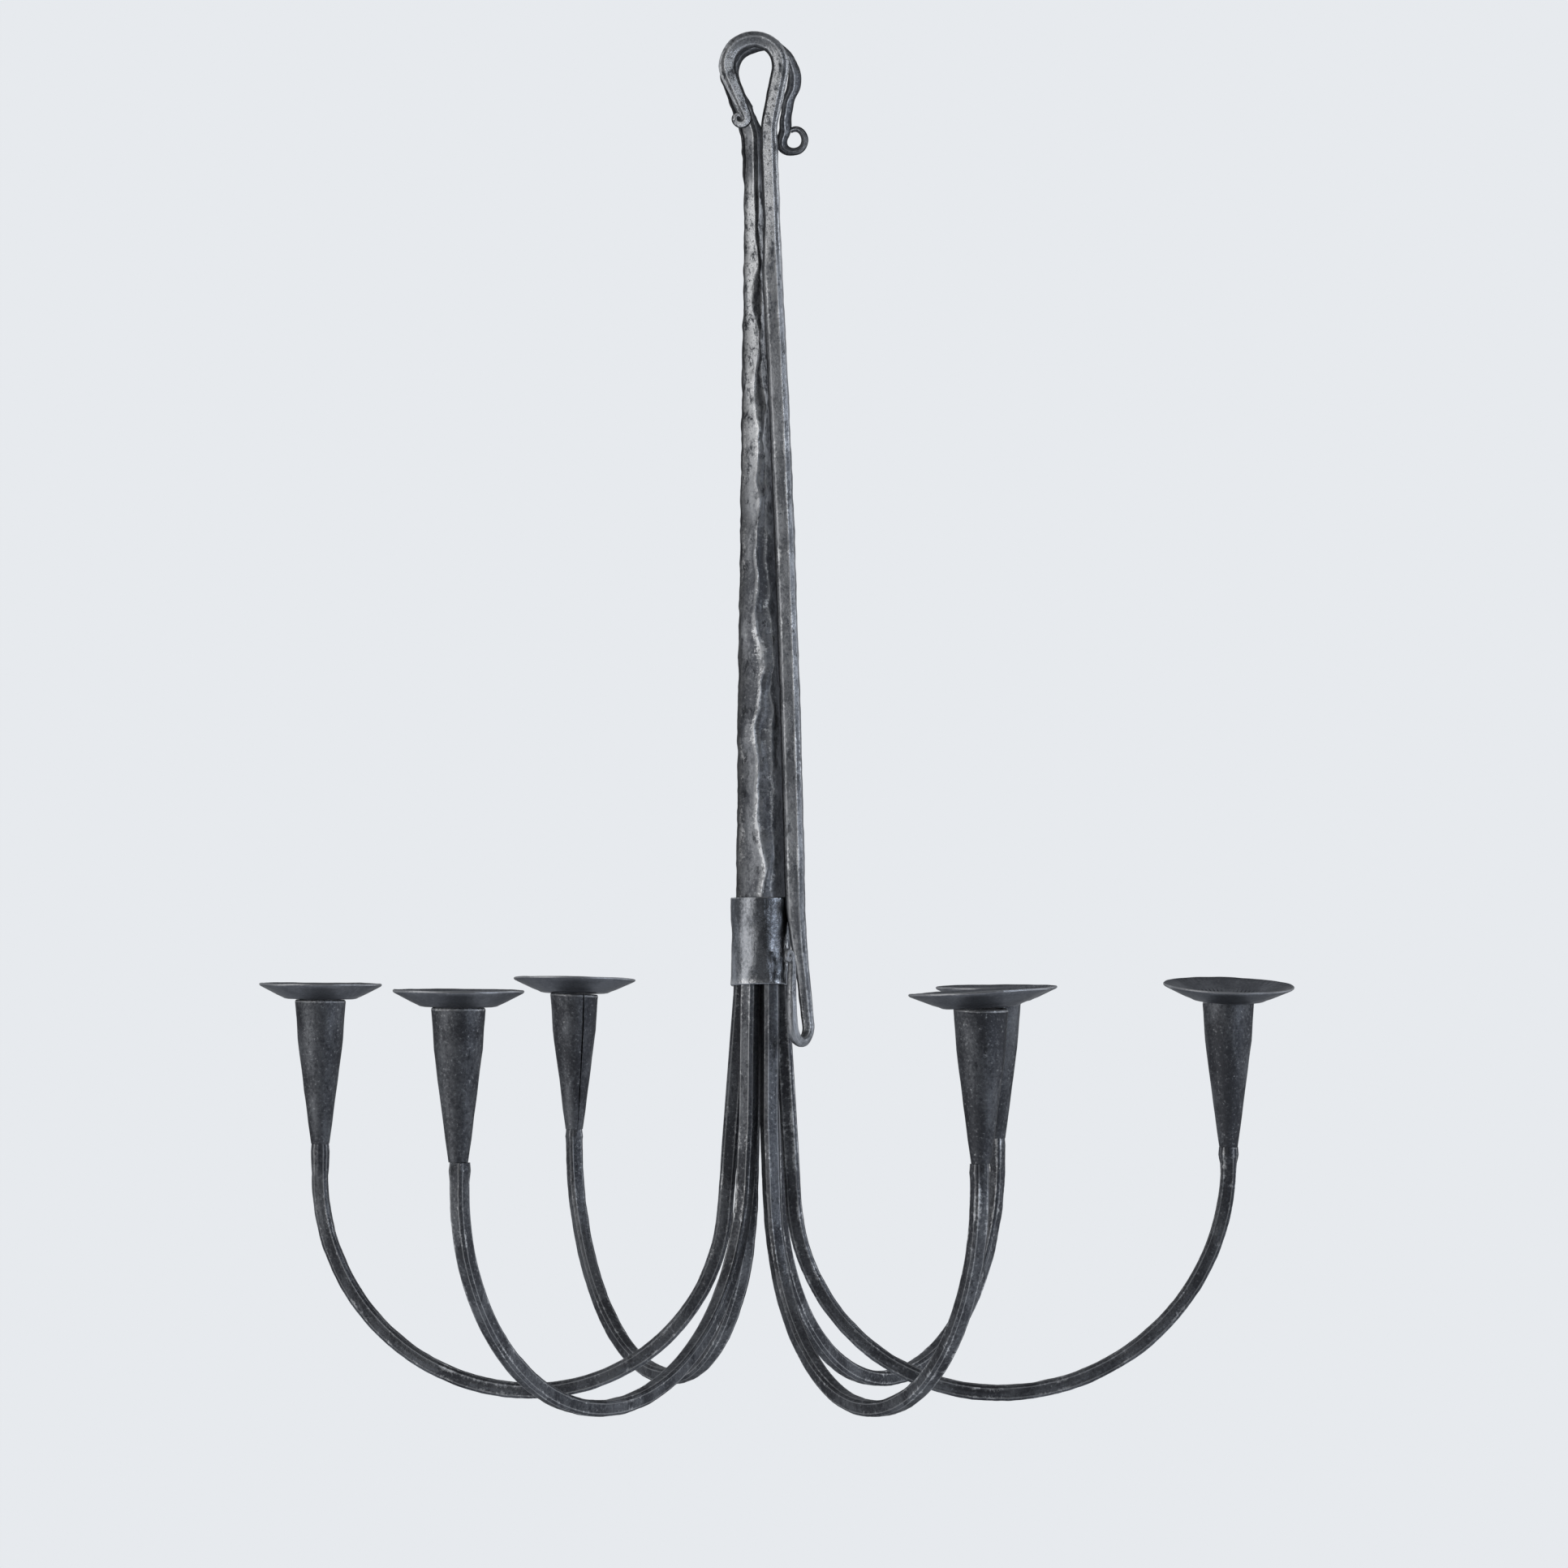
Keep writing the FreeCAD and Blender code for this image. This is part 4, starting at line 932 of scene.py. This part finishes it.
class CHANDELIER_OT_stage(bpy.types.Operator):
    """Pale floor, soft studio light and the camera"""

    bl_idname = "chandelier.stage"
    bl_label = "Set the stage"

    def execute(self, context):
        context.scene.view_settings.view_transform = "Standard"
        self.lay_floor(context)
        self.light_room(context)
        self.hang_lamps(context)
        self.set_camera(context)
        return {"FINISHED"}

    def lay_floor(self, context):
        """Matt pale floor, well below the chandelier."""
        clear_selection()
        bpy.ops.mesh.primitive_circle_add(vertices=96, radius=2.4, fill_type="NGON", location=(0, 0, -1.35))
        floor = context.object
        floor.name = "floor"
        paper = bpy.data.materials.new("pale_floor")
        paper.use_nodes = True
        shader = paper.node_tree.nodes["Principled BSDF"]
        shader.inputs["Base Color"].default_value = shade(linear("#E4E6E9"))
        shader.inputs["Roughness"].default_value = 0.9
        floor.data.materials.append(paper)

    def light_room(self, context):
        """Even soft light, a pale backdrop, and a room for the iron to mirror."""
        front_level, side_level, backdrop_level, even_level = 0.17, 0.34, 0.45, 0.7
        world = bpy.data.worlds.new("studio")
        context.scene.world = world
        world.use_nodes = True
        tree = world.node_tree
        tree.nodes.clear()
        pale = shade(linear("#E7EAEE"))
        way = add(tree, "ShaderNodeTexCoord").outputs["Generated"]
        # How far a direction is towards the viewer, where the room is dim; the backdrop behind is pale
        dim = Vector((math.sin(math.radians(12)), -math.cos(math.radians(12)), 0))
        near = add(tree, "ShaderNodeVectorMath", {0: way, 1: dim}, operation="DOT_PRODUCT").outputs["Value"]
        room = spread(tree, near, 0.8, 0.2, front_level, side_level)
        backdrop = spread(tree, near, -0.3, -0.9, 0.0, backdrop_level)
        room = add(tree, "ShaderNodeMath", {0: room, 1: backdrop}, operation="ADD").outputs[0]
        ray = add(tree, "ShaderNodeLightPath").outputs
        mirrored = add(tree, "ShaderNodeMath", {0: ray["Is Glossy Ray"], 1: ray["Is Transmission Ray"]},
                       operation="MAXIMUM").outputs[0]
        even = add(tree, "ShaderNodeBackground", {"Color": pale, "Strength": even_level}).outputs[0]
        shown = add(tree, "ShaderNodeBackground", {"Color": pale, "Strength": room}).outputs[0]
        seen = add(tree, "ShaderNodeBackground", {"Color": pale}).outputs[0]
        lit = add(tree, "ShaderNodeMixShader", {0: mirrored, 1: even, 2: shown}).outputs[0]
        mixed = add(tree, "ShaderNodeMixShader", {0: ray["Is Camera Ray"], 1: lit, 2: seen}).outputs[0]
        add(tree, "ShaderNodeOutputWorld", {"Surface": mixed})

    def hang_lamps(self, context):
        """Two softboxes and a narrow strip, all turned towards the middle of the chandelier."""
        aim = Vector((0, 0, -0.35))
        # Name, direction from the viewer's side round to the right, distance, height, size, power and tone
        lamps = [
            ("softbox_right", 110.0, 2.2, -0.1, (1.8, 2.0), 8.0, "#F0F6FF"),
            ("softbox_left", -56.0, 2.3, -0.1, (2.5, 2.0), 13.2, "#FFFEFC"),
            ("strip_right", 61.0, 2.3, -0.1, (0.45, 2.0), 8.0, "#E6F0FF"),
        ]
        for name, side, away, height, (wide, tall), power, tone in lamps:
            turn = math.radians(side)
            place = Vector((math.sin(turn) * away, -math.cos(turn) * away, height))
            bpy.ops.object.light_add(type="AREA", location=place)
            lamp = context.object
            lamp.name = name
            lamp.data.shape = "RECTANGLE"
            lamp.data.size = wide
            lamp.data.size_y = tall
            lamp.data.energy = power
            lamp.data.color = linear(tone)
            lamp.rotation_euler = (aim - place).to_track_quat("-Z", "Z").to_euler()

    def set_camera(self, context):
        """Camera at the photograph's place: its horizon lies 137 pixels under the middle of the frame."""
        focal_pixels, horizon_pixels = 7451, 137
        tilt_up = math.atan(horizon_pixels / focal_pixels)
        bpy.ops.object.camera_add(location=(0.0116, -3.092, -0.4337), rotation=(math.radians(90) + tilt_up, 0, 0))
        camera = context.object
        camera.name = "photo_camera"
        camera.data.lens = 138.84
        camera.data.sensor_width = 36.0
        camera.data.sensor_fit = "HORIZONTAL"
        context.scene.camera = camera


OPERATORS = (
    CHANDELIER_OT_stem, CHANDELIER_OT_hanger_rod, CHANDELIER_OT_collar, CHANDELIER_OT_arms,
    CHANDELIER_OT_sockets, CHANDELIER_OT_pans, CHANDELIER_OT_stage,
)


class CHANDELIER_PT_panel(bpy.types.Panel):
    """Sizes, colours and steps of the chandelier"""

    bl_idname = "CHANDELIER_PT_panel"
    bl_label = "Wrought iron chandelier"
    bl_space_type = "VIEW_3D"
    bl_region_type = "UI"
    bl_category = "Chandelier"

    def draw(self, context):
        layout = self.layout
        scene = context.scene
        for group in (scene.chandelier_bars, scene.chandelier_sheet, scene.chandelier_finish):
            for name in group.__annotations__:
                layout.prop(group, name)
        for operator in OPERATORS:
            layout.operator(operator.bl_idname)


CLASSES = (ChandelierBars, ChandelierSheet, ChandelierFinish) + OPERATORS + (CHANDELIER_PT_panel,)


def register():
    for one in CLASSES:
        bpy.utils.register_class(one)
    bpy.types.Scene.chandelier_bars = PointerProperty(type=ChandelierBars)
    bpy.types.Scene.chandelier_sheet = PointerProperty(type=ChandelierSheet)
    bpy.types.Scene.chandelier_finish = PointerProperty(type=ChandelierFinish)


def unregister():
    del bpy.types.Scene.chandelier_finish
    del bpy.types.Scene.chandelier_sheet
    del bpy.types.Scene.chandelier_bars
    for one in reversed(CLASSES):
        bpy.utils.unregister_class(one)


def main():
    register()
    bpy.ops.chandelier.stem()
    bpy.ops.chandelier.hanger_rod()
    bpy.ops.chandelier.collar()
    bpy.ops.chandelier.arms()
    bpy.ops.chandelier.sockets()
    bpy.ops.chandelier.pans()
    bpy.ops.chandelier.stage()
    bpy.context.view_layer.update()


if __name__ == "__main__":
    main()
